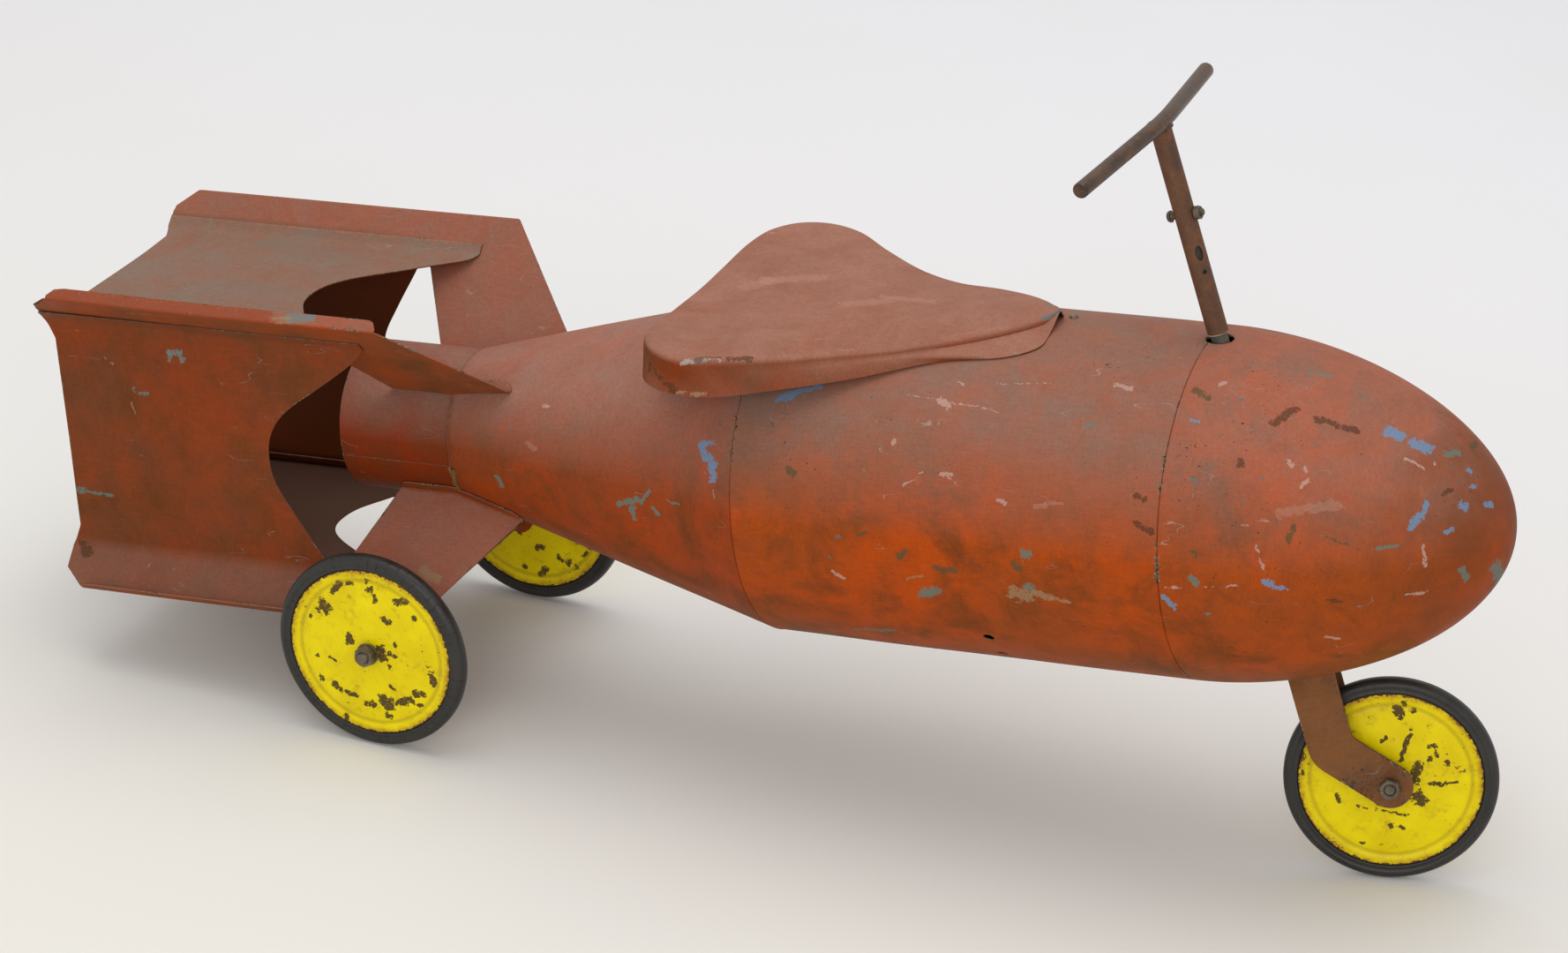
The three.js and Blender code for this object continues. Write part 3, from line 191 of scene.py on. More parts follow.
# Body shells. The nose, the barrel and the rear cone are rolled and spun from 1.2 mm sheet steel, pushed
# together at lipped seams, and sprayed in one coat of orange red over an older blue-grey one.
BODY = Matrix.Translation((-301.7513, 0, 240.1)) @ Matrix.Rotation(-math.radians(5.8), 4, "Y")
BODY_SHEET = 1.2
BARREL_RADIUS = 146.0
CONE_REAR, BARREL_REAR, NOSE_REAR, NOSE_LENGTH = 28.2, 330.6, 704.1, 248.9
CONE_MOUTH_RADIUS = 66.5
NOSE_AXIAL_POWER, NOSE_RADIAL_POWER = 1.79, 1.965
SEAM_GAP = 0.3
LIP_REACH = 14.0
SHELL_FACETS = 200
fresh_red = (0.44, 0.062, 0.003, 1)
faded_red = (0.32, 0.060, 0.008, 1)
# Dust, which on what faces up is also a painted sheen
dust_and_sheen_pink = (0.270, 0.146, 0.110, 1)
old_blue_grey = (0.13, 0.18, 0.17, 1)
dark_rust = (0.055, 0.030, 0.018, 1)
# What shows where the paint is gone, and how much of it
bare_tints = {
    "blue": ((0.140, 0.225, 0.345, 1), 0.9),
    "teal": ((0.120, 0.170, 0.140, 1), 0.85),
    "olive": ((0.090, 0.070, 0.030, 1), 0.8),
    "pale": ((0.440, 0.275, 0.225, 1), 0.8),
    "rub": ((0.420, 0.215, 0.155, 1), 0.36),
    "rust": ((0.070, 0.032, 0.016, 1), 0.72),
    "tan": ((0.300, 0.190, 0.100, 1), 0.75),
    "grey": ((0.150, 0.190, 0.180, 1), 0.85),
    "stain": ((0.190, 0.140, 0.105, 1), 0.40),
    "bright": ((0.340, 0.320, 0.290, 1), 0.85),
    "lip": ((0.270, 0.055, 0.020, 1), 0.70),
    # A painted highlight, with rust-orange in it, along the edge of a flange
    "seam": ((0.370, 0.150, 0.060, 1), 0.60),
    "steel": ((0.16, 0.16, 0.15, 1), 0.9),
    "weld": ((0.27, 0.155, 0.055, 1), 0.85),
}


def arithmetic(operation):
    """A function of two or more values or sockets, worked out from left to right by Math nodes."""
    def worked_out(first, second=0.0, *rest):
        tree = (first if isinstance(first, bpy.types.NodeSocket) else second).id_data
        result = add_node(tree, "Math", {"operation": operation}, i0=first, i1=second).outputs[0]
        return worked_out(result, *rest) if rest else result

    return worked_out


times, plus, minus, divided = map(arithmetic, ("MULTIPLY", "ADD", "SUBTRACT", "DIVIDE"))
larger, smaller, absolute = map(arithmetic, ("MAXIMUM", "MINIMUM", "ABSOLUTE"))


def vector(operation, first, **inputs):
    made = add_node(first.id_data, "VectorMath", {"operation": operation}, i0=first, **inputs)
    return made.outputs["Value" if operation in ("LENGTH", "DOT_PRODUCT") else "Vector"]


def new_group(name, inputs, outputs):
    """An empty node group, and what is given to it, from the names of its sockets of each kind."""
    tree = bpy.data.node_groups.new(name, "ShaderNodeTree")
    for direction, kinds in (("INPUT", inputs), ("OUTPUT", outputs)):
        for kind, words in kinds.items():
            for word in words:
                tree.interface.new_socket(word, in_out=direction, socket_type="NodeSocket" + kind)
    return tree, tree.nodes.new("NodeGroupInput").outputs


def wear_group():
    """Old paint: two tones, chips down to an older coat and to rust, scratches, worn edges, and a dusty film
    that is also a painted sheen on what faces up.
    """
    tree, given = new_group("worn_paint", {
        "Vector": ["Place"],
        "Color": ["Fresh", "Faded", "Dust Colour", "Old Coat", "Rust"],
        "Float": ["Edge", "Up", "Chips", "Scratches", "Edge Wear", "Dust", "Old Share"],
    }, {"Color": ["Color"], "Float": ["Roughness", "Height", "Bare"]})
    place = given["Place"]
    wide = noise(place, 0.007, 3.0)
    cloud = noise(place, 0.035, 6.0, 0.62)
    grain = noise(place, 0.45, 3.0, 0.7)
    speck = noise(place, 1.3, 2.0, 0.6)
    tone = ramp(plus(wide, times(cloud, 0.5)), 0.60, 0.86)
    paint = blend(tone, given["Fresh"], given["Faded"])
    # Brown patches, where the coat is thin, and grime in the grain of the paint
    thin = ramp(noise(place, 0.018, 7.0, 0.68, 0.5), 0.49, 0.66, 0.0, 0.75)
    paint = blend(thin, paint, (0.150, 0.043, 0.008, 1))
    grime = times(ramp(cloud, 0.46, 0.72), ramp(grain, 0.35, 0.75))
    paint = blend(times(grime, 0.6), paint, (0.095, 0.032, 0.014, 1))
    fine = times(ramp(speck, 0.56, 0.66), 0.35)
    paint = blend(fine, paint, (0.12, 0.038, 0.015, 1))
    # Dust and chalking lie on what faces up, and the same pale film is a painted sheen of the light from
    # above
    film = ramp(noise(place, 0.018, 7.0, 0.68, 0.6), 0.30, 0.62, 0.62, 1.0)
    lying_dust_and_sheen = times(given["Up"], film, given["Dust"], ramp(grain, 0.2, 0.7, 0.75, 1.1))
    paint = blend(lying_dust_and_sheen, paint, given["Dust Colour"])
    # The sheet was wiped along and across before it was painted, which left a fine linen-like grain
    threads = []
    for stretch in ((0.10, 0.75, 0.75), (0.75, 0.16, 0.16)):
        pulled = vector("MULTIPLY", place, i1=stretch)
        threads.append(ramp(noise(pulled, 1.0, 2.0, 0.6), 0.3, 0.7, -0.065, 0.065))
    linen = times(plus(*threads, 1.0), ramp(speck, 0.3, 0.7, 0.92, 1.08))
    paint = vector("SCALE", paint, i3=linen)
    # Chips come in clusters, with ragged outlines, and small flecks lie between them
    cluster = noise(place, 0.013, 2.0)
    spread = times(ramp(cluster, 0.40, 0.68, 0.0, 0.13), given["Chips"])
    flake = noise(place, 0.10, 8.0, 0.66, 0.3)
    chip = ramp(plus(flake, spread), 0.745, 0.755)
    fleck = ramp(plus(noise(place, 0.32, 3.0, 0.6), times(spread, 0.9)), 0.755, 0.77)
    chip = times(larger(chip, fleck), smaller(given["Chips"], 1.0))
    # Hair-thin scratches follow the contours of a stretched noise, broken by a second one
    contour = noise(vector("MULTIPLY", place, i1=(0.006, 0.016, 0.030)), 1.0, 3.0, 0.5)
    line = ramp(absolute(minus(contour, 0.5)), 0.0009, 0.0018, 1.0, 0.0)
    broken = ramp(noise(place, 0.04, 4.0), 0.56, 0.60)
    line = times(line, broken, given["Scratches"])
    # Edges are rubbed through here and there, in thin ragged lengths
    stretch_worn = ramp(noise(place, 0.028, 3.0), 0.49, 0.60)
    ragged = ramp(noise(place, 0.16, 6.0, 0.68), 0.34, 0.68, -0.5, 1.9)
    reach = times(given["Edge Wear"], times(ragged, stretch_worn))
    rubbed = ramp(minus(given["Edge"], reach), -0.55, 0.05, 1.0, 0.0)
    which = noise(place, 0.05, 3.0)
    under = times(ramp(which, 0.47, 0.53), given["Old Share"])
    bare_colour = blend(under, given["Rust"], given["Old Coat"])
    colour = blend(chip, paint, bare_colour)
    pale = blend(ramp(which, 0.42, 0.58), (0.46, 0.30, 0.24, 1), (0.20, 0.20, 0.21, 1))
    colour = blend(times(line, 0.6), colour, pale)
    edge_colour = blend(ramp(grain, 0.40, 0.60), given["Rust"], (0.30, 0.20, 0.125, 1))
    colour = blend(rubbed, colour, edge_colour)
    bare = larger(chip, rubbed)
    rough = plus(ramp(cloud, 0.3, 0.7, 0.46, 0.60), times(lying_dust_and_sheen, 0.12), times(bare, 0.16))
    height = plus(minus(times(cloud, 0.5), times(bare, 0.25)), times(grain, 0.06))
    given_out = tree.nodes.new("NodeGroupOutput").inputs
    for name, value in (("Color", colour), ("Roughness", rough), ("Height", height), ("Bare", bare)):
        tree.links.new(value, given_out[name])
    return tree


def mark_group():
    """One ragged mark along a straight run: a chip, a scratch or a stain."""
    inputs = {"Vector": ["Place", "Start", "Run"], "Float": ["Half Width", "Torn"]}
    tree, given = new_group("paint_mark", inputs, {"Float": ["Mask"]})
    run = given["Run"]
    away = vector("SUBTRACT", given["Place"], i1=given["Start"])
    whole = vector("DOT_PRODUCT", run, i1=run)
    share = ramp(divided(vector("DOT_PRODUCT", away, i1=run), plus(whole, 0.001)), 0.0, 1.0)
    off = vector("SUBTRACT", away, i1=vector("SCALE", run, i3=share))
    reach = divided(vector("LENGTH", off), given["Half Width"])
    mask = ramp(plus(reach, given["Torn"]), 0.90, 1.08, 1.0, 0.0)
    tree.links.new(mask, tree.nodes.new("NodeGroupOutput").inputs["Mask"])
    return tree


worn_paint = wear_group()
paint_mark = mark_group()


def place_in(tree, seat):
    """Millimetres in the frame that a piece was made in, from the toy's own metres."""
    back = seat.inverted()
    return add_node(
        tree, "Mapping", Vector=add_node(tree, "TexCoord").outputs["Object"], Location=back.translation,
        Rotation=back.to_euler("XYZ"), Scale=(1 / MM, 1 / MM, 1 / MM),
    ).outputs[0]


def add_marks(place, marks, colour, bare, sway=7.0):
    """Lays marks over a colour. Each is (first end, other end, half width, tint)."""
    # The place sways, so that no mark is a plain line or disc, and its edges are torn
    tree = place.id_data
    field = add_node(tree, "TexNoise", Vector=place, Scale=0.13, Detail=3.0, Roughness=0.6)
    pull = vector("SUBTRACT", field.outputs[1], i1=(0.5, 0.5, 0.5))
    swayed = vector("ADD", place, i1=vector("SCALE", pull, i3=sway))
    flaked = ramp(noise(place, 0.6, 1.0, 0.5), 0.33, 0.40, 0.8, 0.0)
    torn = plus(times(minus(noise(place, 0.21, 4.0, 0.62), 0.53), 3.4), flaked)
    for first, last, half_width, tint in marks:
        run = tuple(b - a for a, b in zip(first, last))
        mask = add_node(
            tree, "Group", {"node_tree": paint_mark},
            Place=swayed, Start=first, Run=run, Half_Width=half_width, Torn=torn,
        ).outputs[0]
        shade, strength = bare_tints[tint]
        colour = blend(times(mask, strength), colour, shade)
        bare = larger(bare, mask)
    return colour, bare


def red_paint(name, seat, marks=(), chips=1.0, scratches=1.0, edge_wear=1.5, dust=0.75, **tones):
    """The toy's red paint, worn by noise and with marks of its own."""
    material, tree = new_material(name)
    place = place_in(tree, seat)
    edge = add_node(tree, "Attribute", {"attribute_name": "edge"}).outputs["Fac"]
    inside = add_node(tree, "Attribute", {"attribute_name": "inside"}).outputs["Fac"]
    facing = split(add_node(tree, "TexCoord").outputs["Normal"])[2]
    # What faces up takes the dust colour, which is also a painted sheen of the light from above
    worn = add_node(
        tree, "Group", {"node_tree": worn_paint}, Place=place, Edge=edge, Up=ramp(facing, 0.04, 0.66),
        Fresh=tones.get("fresh", fresh_red), Faded=tones.get("faded", faded_red), Dust=dust,
        Dust_Colour=tones.get("dust_colour", dust_and_sheen_pink), Old_Coat=old_blue_grey, Rust=dark_rust,
        Old_Share=tones.get("old_share", 0.8), Chips=chips, Scratches=scratches, Edge_Wear=edge_wear,
    ).outputs
    colour = worn["Color"]
    if "tip" in tones:
        uneven = ramp(noise(place, 0.02, 5.0), 0.3, 0.7, -40, 40)
        browned = ramp(plus(split(place)[0], uneven), *tones["tip"])
        colour = blend(times(browned, 0.7), colour, (0.165, 0.046, 0.014, 1))
    colour, bare = add_marks(place, marks, colour, worn["Bare"])
    # Road dirt dulls the underside. Painted shade darkens the faces deep in the tail box and under the
    # saddle, and those of them that face up turn a paler grey-brown.
    colour = blend(ramp(facing, -0.95, -0.55, 0.55, 0.0), colour, (0.145, 0.088, 0.045, 1))
    colour = blend(times(inside, ramp(facing, 0.1, 0.8, 0.75, 0.0)), colour, (0.088, 0.019, 0.004, 1))
    colour = blend(times(inside, ramp(facing, 0.1, 0.8, 0.0, 0.8)), colour, (0.150, 0.088, 0.062, 1))
    bump = add_node(tree, "Bump", Height=worn["Height"], Distance=0.0006, Strength=0.55)
    rough = plus(worn["Roughness"], times(bare, 0.05))
    return end_material(material, colour, rough, Normal=bump.outputs[0], Specular_IOR_Level=0.07)


def placed(points, seat):
    """Moves an array of points, in millimetres, from a frame to the toy's own."""
    points = np.asarray(points, float)
    turn = np.array(seat.to_3x3())
    return points @ turn.T + np.array(seat.translation)


def steel_mesh(name, parts, seat, crease=35.0):
    """One mesh from parts of (points grid, edge distances, wraps, how deep in painted shade), in the seat's
    frame.
    """
    places, faces, edges, insides, start = [], [], [], [], 0
    for grid, edge, wrap_rows, wrap_columns, *inside in parts:
        grid = np.asarray(grid, float)
        rows, columns = grid.shape[:2]
        faces.append(loop_grid(rows, columns, wrap_rows, wrap_columns) + start)
        places.append(placed(grid.reshape(-1, 3), seat) * MM)
        edges.append(np.broadcast_to(edge, (rows, columns)).ravel())
        insides.append(np.broadcast_to(inside[0] if inside else 0.0, (rows, columns)).ravel())
        start += rows * columns
    mesh = bpy.data.meshes.new(name)
    mesh.from_pydata(np.concatenate(places).tolist(), [], np.concatenate(faces).tolist())
    for key, values in (("edge", edges), ("inside", insides)):
        attribute = mesh.attributes.new(key, "FLOAT", "POINT")
        attribute.data.foreach_set("value", np.concatenate(values).astype(np.float32))
    build = bmesh.new()
    build.from_mesh(mesh)
    bmesh.ops.remove_doubles(build, verts=build.verts, dist=0.00002)
    bmesh.ops.dissolve_degenerate(build, edges=build.edges, dist=0.000005)
    bmesh.ops.recalc_face_normals(build, faces=build.faces)
    build.to_mesh(mesh)
    build.free()
    mesh.shade_smooth()
    mesh.set_sharp_from_angle(angle=math.radians(crease))
    made = bpy.data.objects.new(name, mesh)
    bpy.context.scene.collection.objects.link(made)
    return made


def finish_piece(made, material, body, slot, *nodes):
    made.data.materials.clear()
    made.data.materials.append(material)
    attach(made, body)
    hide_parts(*nodes)


def points_of(x, y, z):
    """A grid of points from coordinates that may each be a number, a row, a column or a grid."""
    return np.stack(np.broadcast_arrays(x, y, z), -1)


def turned(profile, facets=SHELL_FACETS, wave=None):
    """A grid turned about X from a closed profile of [x, radius] points."""
    x, radius = np.asarray(profile, float).T[..., None]
    angle = np.linspace(0, 2 * math.pi, facets, endpoint=False)
    if wave is not None:
        radius = radius + wave(x, angle) * np.clip((radius - 20) / 60, 0, 1)
    return points_of(x, radius * np.cos(angle), radius * np.sin(angle))


def along_profile(profile, spacing):
    """Adds points to a profile, so that no step is longer than the spacing."""
    points = [profile[0]]
    for before, after in zip(profile[:-1], profile[1:]):
        steps = max(1, int(math.ceil(math.dist(before, after) / spacing)))
        points += [
            [before[0] + (after[0] - before[0]) * k / steps, before[1] + (after[1] - before[1]) * k / steps]
            for k in range(1, steps + 1)
        ]
    return points


def carve(made, *cutters):
    """Cuts pieces out of a mesh, and keeps the result as its own mesh."""
    for cutter in cutters:
        cut = made.modifiers.new("cut", "BOOLEAN")
        cut.operation = "DIFFERENCE"
        cut.solver = "EXACT"
        cut.object = cutter
    bpy.context.view_layer.update()
    result = bpy.data.meshes.new_from_object(made.evaluated_get(bpy.context.evaluated_depsgraph_get()))
    made.modifiers.clear()
    made.data = result
    for cutter in cutters:
        bpy.data.objects.remove(cutter)
    result.shade_smooth()
    result.set_sharp_from_angle(angle=math.radians(35))


def rod(name, radius, low, high, seat, facets=40):
    """A plain rod along Z, used to drill and to cut."""
    angle = np.linspace(0, 2 * math.pi, facets, endpoint=False)
    reach, z = np.array([(0, low), (radius, low), (radius, high), (0, high)], float).T[..., None]
    grid = points_of(reach * np.cos(angle), reach * np.sin(angle), z)
    return steel_mesh(name, [(grid, 0.0, False, True)], seat)


STEERING = Matrix.Translation((523.296, 0, 76.649)) @ Matrix.Rotation(-math.radians(19.2), 4, "Y")
COLUMN_OPENING = 11.5
FORK_OPENING = 31.0


def shallow_dents(seed, depth):
    """Slow unevenness of a rolled shell, as a change in its radius."""
    draw = np.random.default_rng(seed)
    waves = [
        (draw.uniform(0.004, 0.02), draw.integers(2, 7), draw.uniform(0, 6.28), draw.uniform(0.3, 1.0))
        for _ in range(7)
    ]

    def wave(x, angle):
        total = sum(a * np.sin(k * x * 2 + m * angle + p) for k, m, p, a in waves)
        return depth * total / len(waves) ** 0.5

    return wave


def shell(name, profile, seed, *seams):
    """A turned shell with shallow dents, which knows how far each point stands from its nearest seam."""
    grid = turned(profile, wave=shallow_dents(seed, 0.35))
    distance = np.min([np.abs(grid[..., 0] - seam) for seam in seams], axis=0)
    return steel_mesh(name, [(grid, distance, True, True)], BODY)


def dome_radius(share, radius=BARREL_RADIUS):
    """Radius of the nose at a share of its length."""
    return radius * (1 - share ** NOSE_AXIAL_POWER) ** (1 / NOSE_RADIAL_POWER)


def cone_radius(x):
    share = (x - CONE_REAR) / (BARREL_REAR - CONE_REAR)
    return CONE_MOUTH_RADIUS + (BARREL_RADIUS - CONE_MOUTH_RADIUS) * share


def nose_shell():
    lip = BARREL_RADIUS - BODY_SHEET - SEAM_GAP
    shares = np.sin(np.linspace(0, math.pi / 2, 70))
    outside = [[NOSE_REAR + NOSE_LENGTH * s, dome_radius(s)] for s in shares]
    inner_length, inner_radius = NOSE_LENGTH - BODY_SHEET, BARREL_RADIUS - BODY_SHEET
    inside = [[NOSE_REAR + inner_length * s, dome_radius(s, inner_radius)] for s in shares[::-1][::3]]
    outside[0] = [NOSE_REAR + 1.3, BARREL_RADIUS]
    seam = [
        [NOSE_REAR + 7, lip - BODY_SHEET], [NOSE_REAR - LIP_REACH, lip - BODY_SHEET],
        [NOSE_REAR - LIP_REACH, lip], [NOSE_REAR + SEAM_GAP, lip],
        [NOSE_REAR + 0.35, BARREL_RADIUS - 0.8], [NOSE_REAR + 0.7, BARREL_RADIUS - 0.2],
    ]
    profile = outside + inside[:-1] + seam
    return shell("nose_dome", profile, 3, NOSE_REAR)


def barrel_shell():
    inner = BARREL_RADIUS - BODY_SHEET
    profile = along_profile([
        [BARREL_REAR, inner], [BARREL_REAR, BARREL_RADIUS - 0.6], [BARREL_REAR + 0.6, BARREL_RADIUS],
        [NOSE_REAR - 0.9, BARREL_RADIUS], [NOSE_REAR - 0.3, BARREL_RADIUS - 0.3],
        [NOSE_REAR, BARREL_RADIUS - 0.8], [NOSE_REAR, inner],
    ], 6)
    profile += [[NOSE_REAR - 120, inner], [BARREL_REAR + 120, inner]]
    return shell("barrel", profile, 5, BARREL_REAR, NOSE_REAR)


def rear_cone():
    lip = BARREL_RADIUS - BODY_SHEET - SEAM_GAP
    start = BARREL_REAR - SEAM_GAP
    profile = along_profile([
        [CONE_REAR, CONE_MOUTH_RADIUS - BODY_SHEET], [CONE_REAR, CONE_MOUTH_RADIUS - 0.4],
        [CONE_REAR + 0.6, CONE_MOUTH_RADIUS + 0.1],
        [start - 0.7, BARREL_RADIUS - 0.2], [start - 0.1, BARREL_RADIUS - 0.8], [start, lip],
    ], 6)
    lip_end = BARREL_REAR + LIP_REACH
    profile += [[lip_end, lip], [lip_end, lip - BODY_SHEET], [start - 7, lip - BODY_SHEET - 2]]
    return shell("tail_cone", profile, 8, CONE_REAR, BARREL_REAR)


nose = nose_shell()
carve(
    nose,
    rod("column_slot", COLUMN_OPENING, 372, 560, STEERING),
    rod("fork_slot", FORK_OPENING, 0, 143, STEERING),
)
barrel = barrel_shell()
drain_drills = [
    rod(f"drain_drill_{k}", 5, 136, 156,
        BODY @ Matrix.Translation((542, 0, 0)) @ Matrix.Rotation(math.pi / 2 + math.radians(angle), 4, "X"))
    for k, angle in enumerate((37.5, 52))
]
carve(barrel, rod("column_slot", COLUMN_OPENING, 372, 560, STEERING), *drain_drills)
cone = rear_cone()

# Marks that stand out on the shells. Each runs from one place to another, as millimetres along the body and
# degrees round it from the top towards the right, with its half width and tint.
NOSE_MARKS = (
    (867, 23, 873, 23, 5, "blue"), (886, 23, 895, 22, 4.5, "blue"), (908, 18, 913, 11, 3, "teal"),
    (918, -4, 918, -15, 3, "olive"), (883, 33, 896, 34, 1.2, "pale"), (901, 27, 911, 63, 0.7, "pale"),
    (926, 48, 928, 47, 3.2, "blue"), (924, 18, 924, 18, 2.6, "blue"), (929, 28, 930, 27, 2.2, "blue"),
    (939, 37, 942, 30, 2, "blue"), (904, 53, 902, 58, 2, "blue"), (900, 60, 895, 67, 3, "blue"),
    (922, 66, 919, 68, 2, "blue"), (873, 77, 887, 76, 1.5, "teal"), (790, 90, 794, 91, 2.6, "blue"),
    (797, 92, 807, 93, 1.6, "blue"), (711, 94, 768, 92, 0.8, "pale"), (800, 66, 844, 60, 3.2, "rub"),
    (813, 49, 817, 51, 1.3, "pale"), (818, 53, 814, 56, 1.6, "pale"), (801, 48, 805, 49, 1.6, "pale"),
    (718, 39, 724, 39, 1.3, "blue"), (714, 28, 726, 30, 3, "olive"), (732, 24, 735, 23, 1.8, "pale"),
    (793, 8, 809, 6, 1.6, "teal"), (812, 29, 844, 29, 2.8, "rust"), (783, 35, 796, 27, 3, "rust"),
    (735, 81, 736, 82, 2.5, "olive"), (732, 90, 737, 92, 2.6, "teal"), (743, 103, 744, 103, 1.6, "teal"),
    (836, 73, 861, 78, 1.1, "olive"), (811, 70, 809, 76, 2.2, "olive"), (784, 78, 790, 86, 0.9, "pale"),
    (836, 99, 846, 100, 1.4, "rust"), (831, 117, 840, 120, 1.2, "pale"), (763, 50, 765, 52, 2.6, "rust"),
    (892, 103, 906, 105, 1.2, "pale"), (946, 122, 943, 169, 5, "teal"), (928, 97, 931, 107, 3, "teal"),
    (904, 77, 906, 87, 1.6, "pale"), (913, 44, 917, 40, 1.8, "rust"), (709, 98, 716, 101, 2.4, "blue"),
    (880, -48, 888, -51, 3.6, "blue"), (915, -70, 921, -66, 2.8, "teal"), (820, -64, 846, -61, 1.2, "pale"),
    (770, -92, 777, -90, 2.8, "olive"), (846, -96, 852, -99, 2.2, "blue"), (742, -46, 756, -48, 2.2, "rust"),
)
BARREL_MARKS = (
    (683, 65, 692, 66, 2.2, "rust"), (688, 74, 700, 76, 2.4, "rust"), (648, 29, 660, 30, 2, "pale"),
    (632, 45, 639, 44, 1.4, "teal"), (382, 69, 386, 70, 2.8, "olive"), (365, 46, 374, 45, 3.2, "blue"),
    (375, 44, 398, 41, 2, "blue"), (504, 41, 512, 43, 2.6, "pale"), (466, 40, 555, 43, 0.5, "pale"),
    (515, 34, 520, 35, 1.3, "pale"), (547, 33, 592, 31, 0.4, "pale"), (471, 57, 473, 56, 1.4, "pale"),
    (516, 65, 525, 65, 1.8, "pale"), (524, 66, 531, 68, 0.9, "pale"), (485, 70, 501, 65, 0.8, "pale"),
    (568, 71, 573, 72, 2, "pale"), (599, 72, 623, 70, 1.6, "rub"), (479, 94, 486, 92, 2.6, "olive"),
    (445, 88, 451, 87, 2, "olive"), (510, 97, 529, 97, 2.6, "olive"), (589, 88, 595, 88, 3, "teal"),
    (496, 108, 509, 106, 4.4, "teal"), (418, 103, 428, 105, 1.6, "pale"), (486, 102, 499, 100, 1.2, "tan"),
    (579, 103, 589, 103, 6, "tan"), (592, 99, 595, 100, 3, "teal"), (598, 101, 611, 103, 3.4, "tan"),
    (612, 103, 626, 104, 1.8, "tan"), (580, 92, 585, 93, 3, "olive"), (415, 135, 431, 133, 1.6, "teal"),
    (436, 133, 454, 131, 2.4, "teal"), (470, -58, 486, -61, 3.0, "teal"), (560, -80, 566, -84, 3.4, "blue"),
    (610, -62, 640, -66, 1.0, "pale"), (520, -95, 526, -97, 2.6, "olive"), (400, -72, 409, -70, 2.4, "rust"),
    (655, -90, 668, -88, 2.0, "tan"), (450, -104, 462, -101, 1.4, "pale"),
)
CONE_MARKS = (
    (298, 64, 309, 63, 2.6, "blue"), (301, 66, 304, 68, 3, "blue"), (308, 68, 312, 70, 3.4, "blue"),
    (311, 71, 313, 75, 3.6, "blue"), (313, 79, 315, 81, 1, "tan"), (213, 93, 233, 89, 2.6, "teal"),
    (227, 92, 227, 98, 3, "teal"), (237, 90, 247, 84, 1.6, "teal"), (249, 91, 254, 93, 2, "teal"),
    (265, 86, 278, 87, 1, "teal"), (116, 73, 124, 76, 2.4, "rub"), (80, 99, 83, 104, 2.6, "teal"),
    (129, 52, 134, 52, 1.2, "pale"), (30, 107, 26, 126, 2.4, "weld"), (28, 124, 28, 133, 1.8, "weld"),
)


def on_shell(x, angle):
    """The place on the shells at a length along the body and an angle from the top towards the right."""
    radius = cone_radius(min(max(x, CONE_REAR), BARREL_REAR))
    if x > NOSE_REAR:
        radius = dome_radius((x - NOSE_REAR) / NOSE_LENGTH)
    turn = math.radians(angle)
    return (x, -radius * math.sin(turn), radius * math.cos(turn))


def round_marks(rows):
    return [(on_shell(x1, a1), on_shell(x2, a2), width, tint) for x1, a1, x2, a2, width, tint in rows]


nose_paint = red_paint(
    "nose_red_paint", BODY, round_marks(NOSE_MARKS), edge_wear=2.2, dust=0.7, tip=(870, 950)
)
barrel_paint = red_paint(
    "barrel_red_paint", BODY, round_marks(BARREL_MARKS), chips=0.85, edge_wear=2.2, dust=0.95,
    dust_colour=(0.240, 0.136, 0.102, 1),
)
cone_paint = red_paint(
    "cone_red_paint", BODY, round_marks(CONE_MARKS), chips=0.6, fresh=(0.36, 0.048, 0.004, 1),
    faded=(0.26, 0.050, 0.012, 1), dust_colour=(0.33, 0.185, 0.145, 1),
)
finish_piece(nose, nose_paint, "chassis", "red_paint", "nose_shell")
finish_piece(barrel, barrel_paint, "chassis", "red_paint", "barrel_shell")
finish_piece(cone, cone_paint, "chassis", "red_paint", "rear_cone")

# Tail tube. A short tube of 1.2 mm sheet, rolled round and lapped on the right side, pushed into the cone
# and run round with a weld bead.
TUBE_RADIUS = 65.0
TUBE_REAR, TUBE_FRONT = -78.8, 42.2
LAP_ANGLE = math.radians(-103)
LAP_STEP = 1.1
TUBE_FACETS = 160


def tail_tube():
    profile = along_profile([
        [TUBE_FRONT, 0], [TUBE_REAR + 0.5, 0], [TUBE_REAR, -0.5],
        [TUBE_REAR, -BODY_SHEET], [TUBE_FRONT, -BODY_SHEET],
    ], 7)[:-1]
    turn = np.linspace(0, 1, TUBE_FACETS)
    angle = LAP_ANGLE + turn * (2 * math.pi)
    x, step = np.array(profile).T[..., None]
    reach = TUBE_RADIUS - LAP_STEP * (1 - turn) + step
    grid = points_of(x, reach * np.sin(angle), reach * np.cos(angle))
    edge = np.minimum(np.abs(grid[..., 0] - TUBE_REAR), (1 - turn) * 2 * math.pi * TUBE_RADIUS)
    return steel_mesh("tail_pipe", [(grid, edge, True, True)], BODY)


